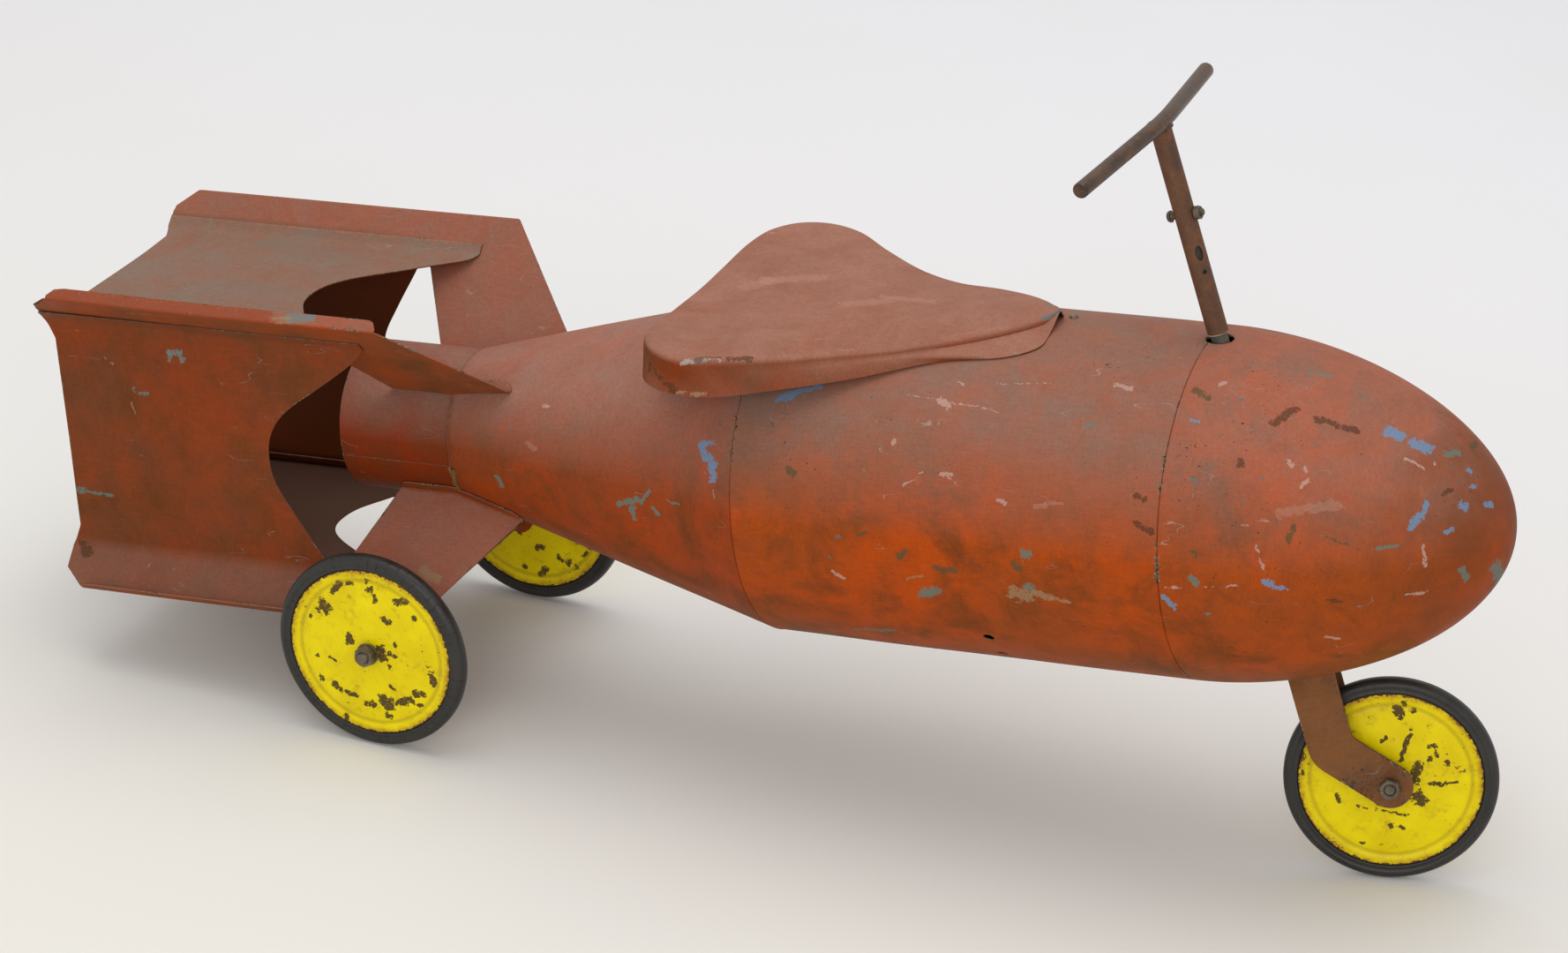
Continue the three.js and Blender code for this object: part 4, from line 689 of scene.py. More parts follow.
def weld_bead(points, radius, seed):
    """A lumpy bead along a closed or open line of points."""
    draw = np.random.default_rng(seed)
    points = np.asarray(points, float)
    ahead = np.gradient(points, axis=0)
    ahead /= np.linalg.norm(ahead, axis=1)[:, None]
    side = np.cross(ahead, np.roll(ahead, 3, axis=0) + [0.01, 0.7, 0.7])
    side /= np.linalg.norm(side, axis=1)[:, None]
    other = np.cross(ahead, side)
    angle = np.linspace(0, 2 * math.pi, 8, endpoint=False)
    size = radius * (1 + 0.35 * draw.standard_normal(len(points)).clip(-1.4, 1.6))
    round_about = side[:, None] * np.cos(angle)[:, None] + other[:, None] * np.sin(angle)[:, None]
    return points[:, None] + round_about * size[:, None, None]


def joined_bead(name, lines, radius, seat, seed):
    parts = [(weld_bead(line, radius, seed + k), 1.0, False, True) for k, line in enumerate(lines)]
    return steel_mesh(name, parts, seat, 60)


def joint_ring():
    angle = np.linspace(0, 2 * math.pi, 170)
    return points_of(CONE_REAR - 0.5, 66 * np.cos(angle), 66 * np.sin(angle))


tube = tail_tube()
tube_paint = red_paint(
    "tube_red_paint", BODY, round_marks([(-23, 78, -19, 80, 1.2, "pale"), (28, 105, 26, 130, 3, "weld")]),
    chips=0.4, dust=0.85, fresh=(0.26, 0.026, 0.002, 1), faded=(0.19, 0.030, 0.006, 1),
)
finish_piece(tube, tube_paint, "chassis", "red_paint", "tail_tube")
weld_paint = red_paint(
    "weld_red_paint", BODY, chips=0.9, edge_wear=0.9, dust=0.7, fresh=(0.20, 0.040, 0.010, 1),
    faded=(0.17, 0.055, 0.030, 1), old_share=0.2,
)
lump_paint = red_paint(
    "weld_tan_paint", BODY, chips=0.9, dust=0.5, fresh=(0.25, 0.13, 0.045, 1), faded=(0.17, 0.10, 0.040, 1),
)
tube_weld = joined_bead("tail_pipe_weld", [joint_ring()], 0.8, BODY, 11)
lumps = [on_shell(CONE_REAR + x, angle) for x, angle in ((2, 103), (1, 110), (-1, 118), (0, 126), (-1, 133))]
weld_lumps = joined_bead("tail_pipe_weld_lumps", [lumps], 1.9, BODY, 19)
for weld, finish in ((tube_weld, weld_paint), (weld_lumps, lump_paint)):
    weld.data.materials.append(finish)
    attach(weld, "chassis")

# Fins. Four diagonal plates of 1 mm sheet, each with a flange that is spot-welded to the cone and the tube,
# a swept arm, a long outer band, and an outer edge folded over to a stiff lip.
FIN_RADIUS = 193.5
FIN_REAR, FIN_FRONT = -334.0, 9.0
FIN_CHAMFER = (21.0, 19.0)
FIN_BAND_INNER = 140.0
FIN_ARM_REAR = -64.0
FIN_BASE = (-32.0, 90.0)
FIN_LIP_WIDTH = 11.0
FIN_LIP_CORNER = 8.0
FIN_FOLD = 1.4
FLANGE_WIDTH = 12.0
TAIL_SHEET = 1.0


def sheet_part(surface, thickness, edge, inside=0.0):
    """Gives a sheet its thickness: the grid goes out over one face and back over the other."""
    surface = np.asarray(surface, float)
    along = np.gradient(surface, axis=0)
    across = np.gradient(surface, axis=1)
    normal = np.cross(along, across)
    length = np.linalg.norm(normal, axis=2)[..., None]
    normal /= np.where(length > 1e-9, length, 1)
    front = surface + normal * thickness / 2
    back = surface - normal * thickness / 2
    rows, columns = surface.shape[:2]
    faces_inside = inside if isinstance(inside, tuple) else (inside, inside)
    front_inside, back_inside = (np.broadcast_to(face, (rows, columns)) for face in faces_inside)
    grid = np.concatenate([front, back[:, ::-1]], axis=1)
    sides = np.concatenate([front_inside, back_inside[:, ::-1]], axis=1)
    parts = [(grid, np.concatenate([edge, edge[:, ::-1]], axis=1), False, True, sides)]
    for row in (0, -1):
        parts.append((np.stack([front[row], back[row]]), np.stack([edge[row], edge[row]]), False, False))
    return parts


def edge_distance(surface, folds=(), cut_rows=(True, True)):
    """Distance of each grid point from the sheet's nearest cut edge or fold."""
    surface = np.asarray(surface, float)
    step_rows = np.linalg.norm(np.diff(surface, axis=0), axis=2)
    step_columns = np.linalg.norm(np.diff(surface, axis=1), axis=2)
    down = np.concatenate([np.zeros((1, surface.shape[1])), np.cumsum(step_rows, 0)], 0)
    over = np.concatenate([np.zeros((surface.shape[0], 1)), np.cumsum(step_columns, 1)], 1)
    nearest = np.minimum(over, over[:, -1:] - over)
    if cut_rows[0]:
        nearest = np.minimum(nearest, down)
    if cut_rows[1]:
        nearest = np.minimum(nearest, down[-1:] - down)
    for fold in folds:
        nearest = np.minimum(nearest, np.abs(down - down[fold:fold + 1]) + 0.6)
    return nearest


def fin_front(z):
    share = (z - cone_radius(FIN_BASE[1])) / (FIN_RADIUS - cone_radius(FIN_BASE[1]))
    return FIN_BASE[1] + (FIN_FRONT - FIN_BASE[1]) * np.clip(share, 0, 1)


def fin_rear(z):
    share = (z - TUBE_RADIUS) / (FIN_BAND_INNER - TUBE_RADIUS)
    return FIN_BASE[0] + (FIN_ARM_REAR - FIN_BASE[0]) * np.clip(share, 0, 1)


def fin_bow(x, z, seed):
    """Slight bends of a thin fin, none at its foot."""
    draw = np.random.default_rng(seed)
    total = 0
    for _ in range(4):
        k, p = draw.uniform(0.008, 0.03), draw.uniform(0, 6.28)
        total = total + draw.uniform(0.2, 0.6) * np.sin(k * x + p)
    return total * np.clip((z - 110) / 80, 0, 1) * 0.5


def fin_band_rear(z):
    chamfer = np.clip((z - (FIN_RADIUS - FIN_CHAMFER[1])) / FIN_CHAMFER[1], 0, 1)
    return FIN_REAR + FIN_CHAMFER[0] * chamfer


def fin_heights(low):
    heights = list(np.linspace(low, FIN_RADIUS - 4.5, max(3, int((FIN_RADIUS - 4.5 - low) / 5))))
    return heights + [FIN_RADIUS - 2.6, FIN_RADIUS - 1.4]


def painted_box_shade(surface):
    """How deep in the tail box a place on a fin is, and so how much painted shade it gets."""
    return np.clip((-np.asarray(surface)[..., 0] - 60) / 90, 0, 1)


def fin_arm(seed):
    """The arm, from the cone out to the band."""
    columns = np.linspace(0, 1, 22)
    foot_x = FIN_BASE[0] + (FIN_BASE[1] - FIN_BASE[0]) * columns
    foot_z = np.where(foot_x < CONE_REAR - 0.9, TUBE_RADIUS, cone_radius(foot_x)) + 2 * SEAM_GAP
    rows = []
    for share in np.linspace(0, 1, 16):
        z = foot_z + (FIN_BAND_INNER - foot_z) * share
        rear = fin_rear(TUBE_RADIUS + (FIN_BAND_INNER - TUBE_RADIUS) * share)
        last = FIN_BASE[1] + (fin_front(FIN_BAND_INNER) - FIN_BASE[1]) * share
        x = rear + (last - rear) * columns
        rows.append(points_of(x, fin_bow(x, z, seed), z))
    surface = np.array(rows)
    return sheet_part(surface, TAIL_SHEET, edge_distance(surface, (), (True, False)))


def fin_lip_width(from_rear, from_front):
    """The lip is cut off at its rear corner and rounded at its front one."""
    width = FIN_LIP_WIDTH - np.clip(FIN_LIP_CORNER - from_rear, 0, FIN_LIP_CORNER) * 0.95
    rounding = np.clip(1 - from_front / FIN_LIP_CORNER, 0, 1)
    return np.minimum(width, 3 + (FIN_LIP_WIDTH - 3) * np.sqrt(np.clip(1 - rounding ** 2, 0, 1)))


def fin_band(seed):
    """The outer band, the fold along it and the lip that is folded over."""
    cuts = np.concatenate([np.linspace(0, 0.02, 3), np.linspace(0.05, 0.95, 58), np.linspace(0.98, 1, 3)])
    rows = []
    for z in fin_heights(FIN_BAND_INNER):
        rear, front = fin_band_rear(z), fin_front(z)
        x = rear + (front - rear) * cuts
        rows.append(points_of(x, fin_bow(x, z, seed), z))
    fold_row = len(rows) + 1
    lip_rear, lip_front = FIN_REAR + FIN_CHAMFER[0], FIN_FRONT - 1
    x = lip_rear + (lip_front - lip_rear) * cuts
    bow = fin_bow(x, FIN_RADIUS, seed)
    lip_height = FIN_RADIUS - TAIL_SHEET / 2
    for turn in (0.35, 0.7, 1.0):
        angle = turn * math.pi / 2
        lift, over = FIN_FOLD * math.sin(angle), FIN_FOLD * (1 - math.cos(angle))
        rows.append(points_of(x, bow + over, lip_height - FIN_FOLD + lift))
    width = fin_lip_width(x - lip_rear, lip_front - x)
    for share in (0.2, 0.45, 0.7, 0.9, 1.0):
        rows.append(points_of(x, bow + FIN_FOLD + (width - FIN_FOLD) * share, lip_height))
    surface = np.array(rows)
    edge = edge_distance(surface, [fold_row], (False, True))
    height = surface[..., 2] - FIN_BAND_INNER
    edge = np.where(surface[..., 0] < FIN_ARM_REAR, np.minimum(edge, height), edge)
    return sheet_part(surface, TAIL_SHEET, edge, np.where(height < 25, painted_box_shade(surface), 0))


def fin_flange():
    """The flange that lies on the tube and the cone."""
    stations = np.concatenate([
        np.linspace(FIN_BASE[0], CONE_REAR - 2, 12), np.linspace(CONE_REAR + 1, FIN_BASE[1], 14)
    ])
    skin = np.where(stations < CONE_REAR, TUBE_RADIUS, cone_radius(stations)) + 1.5
    skin = skin + np.where(np.abs(stations - CONE_REAR) < 4, 0.6, 0)
    narrow = np.clip(np.minimum(stations - FIN_BASE[0], FIN_BASE[1] - stations) / 6, 0.25, 1)
    rows = []
    for step in (0.0, 0.12, 0.3, 0.6, 0.85, 1.0):
        radius = skin + 2.0 * max(0, 1 - step / 0.12)
        angle = FLANGE_WIDTH * step * narrow / radius
        rows.append(points_of(stations, radius * np.sin(angle), radius * np.cos(angle)))
    surface = np.array(rows)
    return sheet_part(surface, TAIL_SHEET, edge_distance(surface))


FIN_MARKS = (
    ((-74, -133, 141), (-54, -131, 143), 4, "grey"), ((-91, -134, 140), (-72, -133, 141), 1.2, "tan"),
    ((-240, -129, 128), (-71, -136, 138), 0.8, "tan"), ((10, -100, -99), (24, -104, -103), 4, "tan"),
    ((-22, 85, 85), (-18, 84, 84), 1.4, "tan"), ((57, 66, 67), (60, 65, 66), 1.5, "tan"),
    ((-325, -134, 140), (-100, -134, 140), 9, "lip"),
)
fin_paint = red_paint(
    "fin_red_paint", BODY, FIN_MARKS, chips=0.5, edge_wear=2.0, dust=0.8, fresh=(0.34, 0.052, 0.006, 1),
    faded=(0.25, 0.056, 0.016, 1), dust_colour=(0.295, 0.135, 0.097, 1),
)
for order, fin_name in enumerate(("fin_left_upper", "fin_right_upper", "fin_right_lower", "fin_left_lower")):
    seat = BODY @ Matrix.Rotation(math.radians(90 * order - 45), 4, "X")
    parts = fin_arm(20 + order) + fin_band(20 + order) + fin_flange()
    fin = steel_mesh(fin_name.replace("fin", "tail_fin"), parts, seat, 40)
    finish_piece(fin, fin_paint, "chassis", "red_paint", fin_name)

# Tail panels. Four sheets of 1 mm steel box the tail in. Each has a narrow flange that lies on one fin and a
# wide one tucked under the next fin's lip, and is cut to a deep curve at the front.
PANEL_HEIGHT = 108.5
PANEL_BEND = 19.0
NARROW_REACH = 165.5
DIAGONAL = math.sqrt(0.5)
PANEL_INSET = 8.5
# How much painted shade each face of a panel gets: the outer one, then the inner one
PANEL_FACE_SHADE = (0.0, 1.0)
PANEL_CUT = (
    (-19, 108), (-33, 93), (-68, 67), (-98, 46), (-116, 27), (-124.5, 5),
    (-122.5, -24), (-107, -53), (-84, -90), (-74, -109), (-62, -138),
)


def rounded_line(points, radius, steps):
    """Rounds the inner corners of an open line."""
    line = [np.array(points[0], float)]
    for before, corner, after in zip(points[:-2], points[1:-1], points[2:]):
        before, corner, after = (np.array(p, float) for p in (before, corner, after))
        back = (before - corner) / np.linalg.norm(before - corner)
        ahead = (after - corner) / np.linalg.norm(after - corner)
        run = radius / math.tan(math.acos(back @ ahead) / 2)
        first, last = corner + back * run, corner + ahead * run
        for t in np.linspace(0, 1, steps + 1):
            line.append((1 - t) ** 2 * first + 2 * t * (1 - t) * corner + t ** 2 * last)
    line.append(np.array(points[-1], float))
    return line


def smooth_curve(points, count):
    """A smooth line through points, with even steps between them."""
    points = np.asarray(points, float)
    padded = np.concatenate([[2 * points[0] - points[1]], points, [2 * points[-1] - points[-2]]])
    out = []
    for t in np.linspace(0, len(points) - 1, count):
        k = min(int(t), len(points) - 2)
        f = t - k
        a, b, c, d = padded[k:k + 4]
        bend = (2 * a - 5 * b + 4 * c - d) * f ** 2 + (3 * b - 3 * c + d - a) * f ** 3
        out.append(0.5 * (2 * b + (c - a) * f + bend))
    return np.array(out)


def panel_section():
    """Points across a panel: the narrow flange, a bend, the flat, a bend and the wide flange."""
    lift = TAIL_SHEET + SEAM_GAP
    crease = PANEL_HEIGHT / DIAGONAL - lift
    wide_reach = FIN_RADIUS - TAIL_SHEET - SEAM_GAP
    line = rounded_line([
        ((NARROW_REACH - lift) * DIAGONAL, (NARROW_REACH + lift) * DIAGONAL),
        ((crease - lift) * DIAGONAL, (crease + lift) * DIAGONAL),
        ((lift - crease) * DIAGONAL, (crease + lift) * DIAGONAL),
        ((lift - wide_reach) * DIAGONAL, (wide_reach + lift) * DIAGONAL),
    ], PANEL_BEND, 8)
    section = []
    for before, after in zip(line[:-1], line[1:]):
        steps = max(1, int(np.linalg.norm(after - before) / 5))
        section += [before + (after - before) * k / steps for k in range(steps)]
    section = np.array(section + [line[-1]])
    for margin in (0.4, 0.16):
        section = np.insert(section, 1, section[0] + (section[1] - section[0]) * margin, axis=0)
    return section


def panel_parts(seed):
    section = panel_section()
    cut = smooth_curve(PANEL_CUT, 120)
    front = np.interp(-section[:, 0], -cut[:, 1], cut[:, 0])
    across = np.abs(section[:, 0])
    rear = FIN_REAR + PANEL_INSET * np.clip((PANEL_HEIGHT - across) / (PANEL_HEIGHT * 0.18), 0, 1)
    chamfer = (FIN_RADIUS - FIN_CHAMFER[1]) * DIAGONAL
    slope = FIN_CHAMFER[0] / (FIN_RADIUS * DIAGONAL - chamfer)
    rear = np.where(section[:, 0] < -chamfer, FIN_REAR + (-section[:, 0] - chamfer) * slope, rear)
    shares = np.concatenate([[0, 0.004, 0.012], np.linspace(0.03, 0.97, 46), [0.988, 0.996, 1]])
    draw = np.random.default_rng(seed)
    waves = [(draw.uniform(0.01, 0.03), draw.uniform(0.01, 0.03), draw.uniform(0, 6.28)) for _ in range(4)]
    x = rear[:, None] + (front - rear)[:, None] * shares
    y, z = section.T[..., None]
    flat = np.clip((PANEL_HEIGHT - 14 - np.abs(y)) / 40, 0, 1)
    bulge = 0.5 * flat * sum(np.sin(a * x + b * y + p) for a, b, p in waves)
    surface = points_of(x, y, z + bulge)
    return sheet_part(surface, TAIL_SHEET, edge_distance(surface), PANEL_FACE_SHADE)


PANEL_MARKS = (
    (-212, 87, -212, 79, 2.4, "grey"), (-212, 86, -201, 88, 2.4, "grey"), (-201, 88, -199, 80, 2.6, "grey"),
    (-247, 44, -238, 46, 1.8, "teal"), (-256, 35, -255, 25, 1.2, "tan"), (-252, 49, -251, 46, 1.4, "teal"),
    (-317, -56, -289, -57, 1.4, "teal"), (-330, -55, -317, -55, 2.8, "teal"), (-277, 75, -270, 70, 1, "tan"),
)
PANEL_CORNER_MARK = ((-324, -111, -108), (-318, -115, -112), 5, "rust")
TOP_PANEL_MARKS = (
    ((-226, 92, 109), (-126, 72, 109), 13, "stain"), ((-226, 92, 109), (-183, 114, 116), 9, "stain"),
    # The seam mark is a painted highlight, with rust-orange in it, along the top panel's narrow flange
    ((-207, -3, 109), (-153, -7, 109), 8, "stain"), ((-330, 117, 118), (-30, 117, 118), 1.8, "seam"),
)
panel_marks = [((x1, -109, z1), (x2, -109, z2), width, tint) for x1, z1, x2, z2, width, tint in PANEL_MARKS]
panel_paint = red_paint(
    "panel_red_paint", BODY, panel_marks + [PANEL_CORNER_MARK], chips=0.45, edge_wear=1.2, dust=0.45,
    fresh=(0.25, 0.045, 0.010, 1), faded=(0.17, 0.050, 0.018, 1),
)
top_panel_paint = red_paint(
    "top_panel_red_paint", BODY, TOP_PANEL_MARKS, chips=0.45, edge_wear=1.2, dust=1.0,
    dust_colour=(0.215, 0.148, 0.112, 1), fresh=(0.30, 0.052, 0.010, 1),
)
for order, panel_name in enumerate(("panel_top", "panel_right", "panel_bottom", "panel_left")):
    seat = BODY @ Matrix.Rotation(math.radians(90 * order), 4, "X")
    panel = steel_mesh(panel_name.replace("panel", "tail_panel"), panel_parts(40 + order), seat, 40)
    finish_piece(panel, panel_paint if order else top_panel_paint, "chassis", "red_paint", panel_name)

# Saddle. One pan pressed from 1.2 mm sheet: a shallow dish with a turned-down skirt, spot-welded to the
# barrel near its nose. Riders have rubbed its rear edge bright.
SEAT_SHEET = 1.2
SEAT_EDGE_RADIUS = 6.0
SEAT_EDGE = (
    (573, 0, 12), (563, 17, 9.5), (541, 36, 6.5), (505, 56, 2), (455, 76, -3.5), (413, 96, -4),
    (366, 127, -1.5), (330, 150, 3.5), (299, 157.5, 5.5), (274, 148, 7.5), (256, 127, 7.5), (247, 102, 4.5),
    (245.5, 50, 2), (247, 0, 2),
)
# Lower edge of the skirt: it arches over the barrel at the nose, where its two sides differ
SEAT_ARCH = (573.5, 0, 10)
SEATED_LEFT = ((571, 13), (561, 32), (543, 48), (490, 67))
SEATED_RIGHT = ((573, 24), (571, 42), (550, 56), (490, 69))
FREE_SKIRT = (
    (425, 97, -25.5), (367, 131, -28), (330, 154, -27.5), (298, 160, -26.5), (265, 147, -24.5),
    (247, 109, -24), (242, 50, -20), (243, 0, -15),
)
SEAT_SPINE = ((558, 10), (400, 2.4), (268, 2))
SEAT_ROUNDS = 240
DISH_STEPS = 25
ROLL_STEPS = 7


def closed_curve(points):
    """A closed centripetal curve through points, as a function of its share of the way round."""
    points = np.asarray(points, float)
    count = len(points)

    def at(share):
        whole = share * count
        k = int(math.floor(whole)) % count
        f = whole - math.floor(whole)
        p = [points[(k + n) % count] for n in (-1, 0, 1, 2)]
        steps = [max(float(np.sum((b - a) ** 2)) ** 0.25, 1e-4) for a, b in zip(p[:-1], p[1:])]
        d0, d1, d2 = steps
        start = (p[1] - p[0]) / d0 - (p[2] - p[0]) / (d0 + d1) + (p[2] - p[1]) / d1
        end = (p[2] - p[1]) / d1 - (p[3] - p[1]) / (d1 + d2) + (p[3] - p[2]) / d2
        start, end = start * d1, end * d1
        return (
            p[1] + start * f + (-3 * p[1] + 3 * p[2] - 2 * start - end) * f ** 2
            + (2 * p[1] - 2 * p[2] + start + end) * f ** 3
        )

    return at


def both_sides(points):
    return list(points) + [(x, -y, z) for x, y, z in reversed(points[1:-1])]


def saddle_curves():
    """The edge of the dish and the foot of the skirt, as curves round the saddle."""
    skin = BARREL_RADIUS + SEAT_SHEET + 2 * SEAM_GAP
    edge = both_sides([(x, y, BARREL_RADIUS + h) for x, y, h in SEAT_EDGE])
    left = [(x, y, math.sqrt(skin ** 2 - y ** 2)) for x, y in SEATED_LEFT]
    right = [(x, y, math.sqrt(skin ** 2 - y ** 2)) for x, y in SEATED_RIGHT]
    arch = (SEAT_ARCH[0], SEAT_ARCH[1], BARREL_RADIUS + SEAT_ARCH[2])
    free = [(x, y, BARREL_RADIUS + h) for x, y, h in FREE_SKIRT]
    skirt = [arch] + left + free + [(x, -y, z) for x, y, z in reversed(right + free[:-1])]
    return closed_curve(edge), closed_curve(skirt)


def saddle_surface():
    edge, skirt = saddle_curves()
    middle = np.array([SEAT_SPINE[1][0], 0, BARREL_RADIUS + SEAT_SPINE[1][1]])
    spine = smooth_curve([(x, BARREL_RADIUS + h) for x, h in SEAT_SPINE], SEAT_ROUNDS // 2 + 1)
    rows = []
    for k in range(SEAT_ROUNDS):
        t = k / SEAT_ROUNDS
        corner, foot = edge(t), skirt(t)
        inward = middle - corner
        inward[2] = 0
        inward /= np.linalg.norm(inward)
        point = spine[min(k, SEAT_ROUNDS - k)]
        centre = np.array([point[0], 0, point[1]])
        roll = min(SEAT_EDGE_RADIUS, (corner[2] - foot[2]) * 0.8)
        rim = corner + inward * roll
        column = []
        for share in np.arange(DISH_STEPS) / DISH_STEPS:
            place = centre + (rim - centre) * share
            place[2] = centre[2] + (rim[2] - centre[2]) * share ** 2
            column.append(place)
        for angle in np.linspace(0, math.pi / 2, ROLL_STEPS):
            place = corner + inward * roll * (1 - math.sin(angle))
            place[2] -= roll * (1 - math.cos(angle))
            column.append(place)
        last = column[-1]
        rows.append(column + [last + (foot - last) * share for share in (0.25, 0.5, 0.75, 0.93, 1.0)])
    return np.array(rows)


def saddle():
    outer = saddle_surface()
    around = np.roll(outer, -1, 0) - np.roll(outer, 1, 0)
    out = np.gradient(outer, axis=1)
    normal = np.cross(out, around)
    length = np.linalg.norm(normal, axis=2)[..., None]
    normal = np.where(length > 1e-6, normal / np.where(length > 1e-6, length, 1), np.array([0, 0, 1.0]))
    normal *= np.sign(normal[SEAT_ROUNDS // 4, DISH_STEPS // 2, 2])
    normal[:, 0] = (0, 0, 1)
    inner = outer - normal * SEAT_SHEET
    grid = np.concatenate([outer, inner[:, ::-1]], axis=1)
    # The underside of the pan gets painted shade
    under = np.concatenate([np.zeros(outer.shape[:2]), np.ones(outer.shape[:2])], axis=1)
    to_foot = np.cumsum(np.linalg.norm(np.diff(outer[:, ::-1], axis=1), axis=2), axis=1)[:, ::-1]
    to_foot = np.concatenate([to_foot, np.zeros((SEAT_ROUNDS, 1))], axis=1)
    fold = DISH_STEPS + ROLL_STEPS // 2
    from_fold = np.abs(to_foot - to_foot[:, fold:fold + 1])
    edge = np.minimum(to_foot, from_fold + 1.5)
    edge = np.concatenate([edge, edge[:, ::-1]], axis=1)
    return steel_mesh("saddle", [(grid, edge, True, False, under)], BODY, 50)


SADDLE_MARKS = (
    ((304, -156, 147), (323, -151, 149), 2.0, "bright"), ((316, -153, 149), (354, -132, 146), 2.4, "rust"),
    ((323, -150, 149), (334, -145, 148), 1.4, "bright"), ((359, -126, 146), (420, -86, 142), 0.8, "rub"),
    ((420, -86, 142), (539, -34, 152), 0.8, "rub"), ((271, -145, 135), (296, -157, 124), 3.5, "rust"),
    ((299, -159, 121), (323, -156, 122), 1.6, "tan"), ((560, 12, 156), (560, 36, 145), 3.6, "steel"),
    ((573, -3, 158), (566, -12, 156), 2.6, "steel"), ((552, -52, 139), (556, -53, 138), 1.2, "tan"),
    ((288, 7, 148), (299, 25, 148), 8, "rub"), ((299, 25, 148), (340, 43, 148), 6, "rub"),
    ((386, -7, 148), (420, 7, 149), 6, "rub"), ((409, 13, 149), (459, 8, 151), 4, "rub"),
)
seat_paint = red_paint(
    "saddle_red_paint", BODY, SADDLE_MARKS, chips=0.2, scratches=0.5, edge_wear=1.1, dust=0.95,
    dust_colour=(0.330, 0.153, 0.106, 1), fresh=(0.22, 0.033, 0.004, 1), faded=(0.15, 0.038, 0.009, 1),
)
seat = saddle()
finish_piece(seat, seat_paint, "chassis", "red_paint", "seat_pan")

# Wheels. Each is two pressed steel discs, painted yellow and spot-welded back to back round a hub sleeve,
# with a solid rubber tyre sprung over the rim. The paint has chipped to dark rust.
WHEEL_RADIUS = 88.9
RIM_RADIUS = 76.2
TYRE_HALF = 7.4
HUB_RADIUS = 8.0
HUB_LENGTH = 20.0
AXLE_RADIUS = 4.75
GROOVE_RADIUS = 66.8
FORK = STEERING @ Matrix.Rotation(math.radians(16.6), 4, "Z")
FORK_OFFSET = 38.4
FRONT_WHEEL = FORK @ Matrix.Translation((FORK_OFFSET, 0, 0))
REAR_AXLE = Matrix.Translation((BODY.translation.x, 0, WHEEL_RADIUS))
REAR_TRACK_HALF = 155.3
FAR_FROM_EDGE = 400.0
bright_yellow = (0.86, 0.70, 0.0, 1)
deep_yellow = (0.74, 0.57, 0.0, 1)
chip_brown = (0.070, 0.038, 0.016, 1)
bare_tints["chip"] = (chip_brown, 0.95)
# Larger chips on a wheel's face: from one place to another across it, and the half width
REAR_CHIPS = (
    (-44, 34, -44, 34, 6.4), (-36, 50, -28, 59, 2.6), (-22, 61, -17, 62, 1.8), (-3, 68, -3, 66, 2.4),
    (1, 60, 1, 60, 3), (5, 54, 5, 49, 2.4), (26, 54, 34, 55, 3), (13, 35, 20, 33, 2), (43, 42, 44, 41, 2.1),
    (-19, 11, -18, 7, 3.6), (12, 4, 12, -1, 5), (20, 4, 20, 3, 2), (25, 13, 25, 13, 2.2),
    (25, 1, 25, 1, 2.2), (18, -9, 18, -9, 2.4), (-51, -15, -51, -15, 2), (-58, 21, -57, 21, 2),
    (-48, -35, -47, -36, 2.8), (-35, -38, -30, -43, 2.6), (-23, -44, -13, -45, 2.3), (-4, -50, 3, -51, 2.8),
    (13, -43, 17, -46, 5.6), (27, -43, 39, -37, 3.6), (43, -31, 50, -28, 3.2), (48, -41, 48, -41, 2.4),
    (17, -58, 19, -58, 3), (20, -28, 23, -31, 1.8), (59, -10, 61, -18, 3.2), (-24, -67, -24, -68, 2.4),
    (-39, -13, -33, -16, 1),
)
FRONT_CHIPS = (
    (20, 60, 23, 56, 3.4), (28, 64, 28, 63, 2.1), (33, 56, 33, 55, 2), (21, 52, 22, 51, 1.5),
    (27, 41, 27, 40, 1.6), (41, 23, 42, 21, 2.8), (42, 14, 42, 14, 2.1), (35, 11, 36, 11, 1.8),
    (49, 6, 48, 4, 1.9), (6, 38, 1, 35, 1.2), (24, 35, 12, 15, 2), (25, 8, 18, -5, 4),
    (17, -18, 21, -24, 4.6), (30, -10, 52, -15, 1.3), (38, -12, 43, -13, 1.8), (-17, -18, -16, -19, 2),
    (-19, -22, 6, -34, 1), (-33, -16, -25, -20, 0.8), (-46, -3, -46, -9, 2.1), (-10, -39, -10, -40, 2),
    (-2, -42, -1, -44, 2.4), (-37, -49, -36, -49, 1.5), (-69, 24, -69, 22, 2.3), (-67, 34, -64, 41, 1.9),
)


def spun(profile, facets=128):
    """A grid turned about Y from a profile of [y, radius] points."""
    return turned(profile, facets)[..., [1, 0, 2]]


def disc_grid(side):
    face = 6.7
    outer = along_profile([
        [face + 0.6, HUB_RADIUS + SEAM_GAP], [face + 0.9, 15], [face + 0.9, 24],
        [face - 0.5, GROOVE_RADIUS - 4.5],
        [face - 1.5, GROOVE_RADIUS - 2.0], [face - 2.0, GROOVE_RADIUS], [face - 1.5, GROOVE_RADIUS + 1.9],
        [face - 0.4, GROOVE_RADIUS + 3.8], [face - 0.1, RIM_RADIUS - 1.2], [face - 0.5, RIM_RADIUS],
    ], 4)
    inner = along_profile([
        [face - 1.2, RIM_RADIUS + 0.2], [0.2, RIM_RADIUS - 5.5], [0.2, GROOVE_RADIUS - 1],
        [face - 1.7, GROOVE_RADIUS - 5], [face - 0.6, HUB_RADIUS + 0.3],
    ], 12)
    return spun([[side * y, r] for y, r in outer + inner])


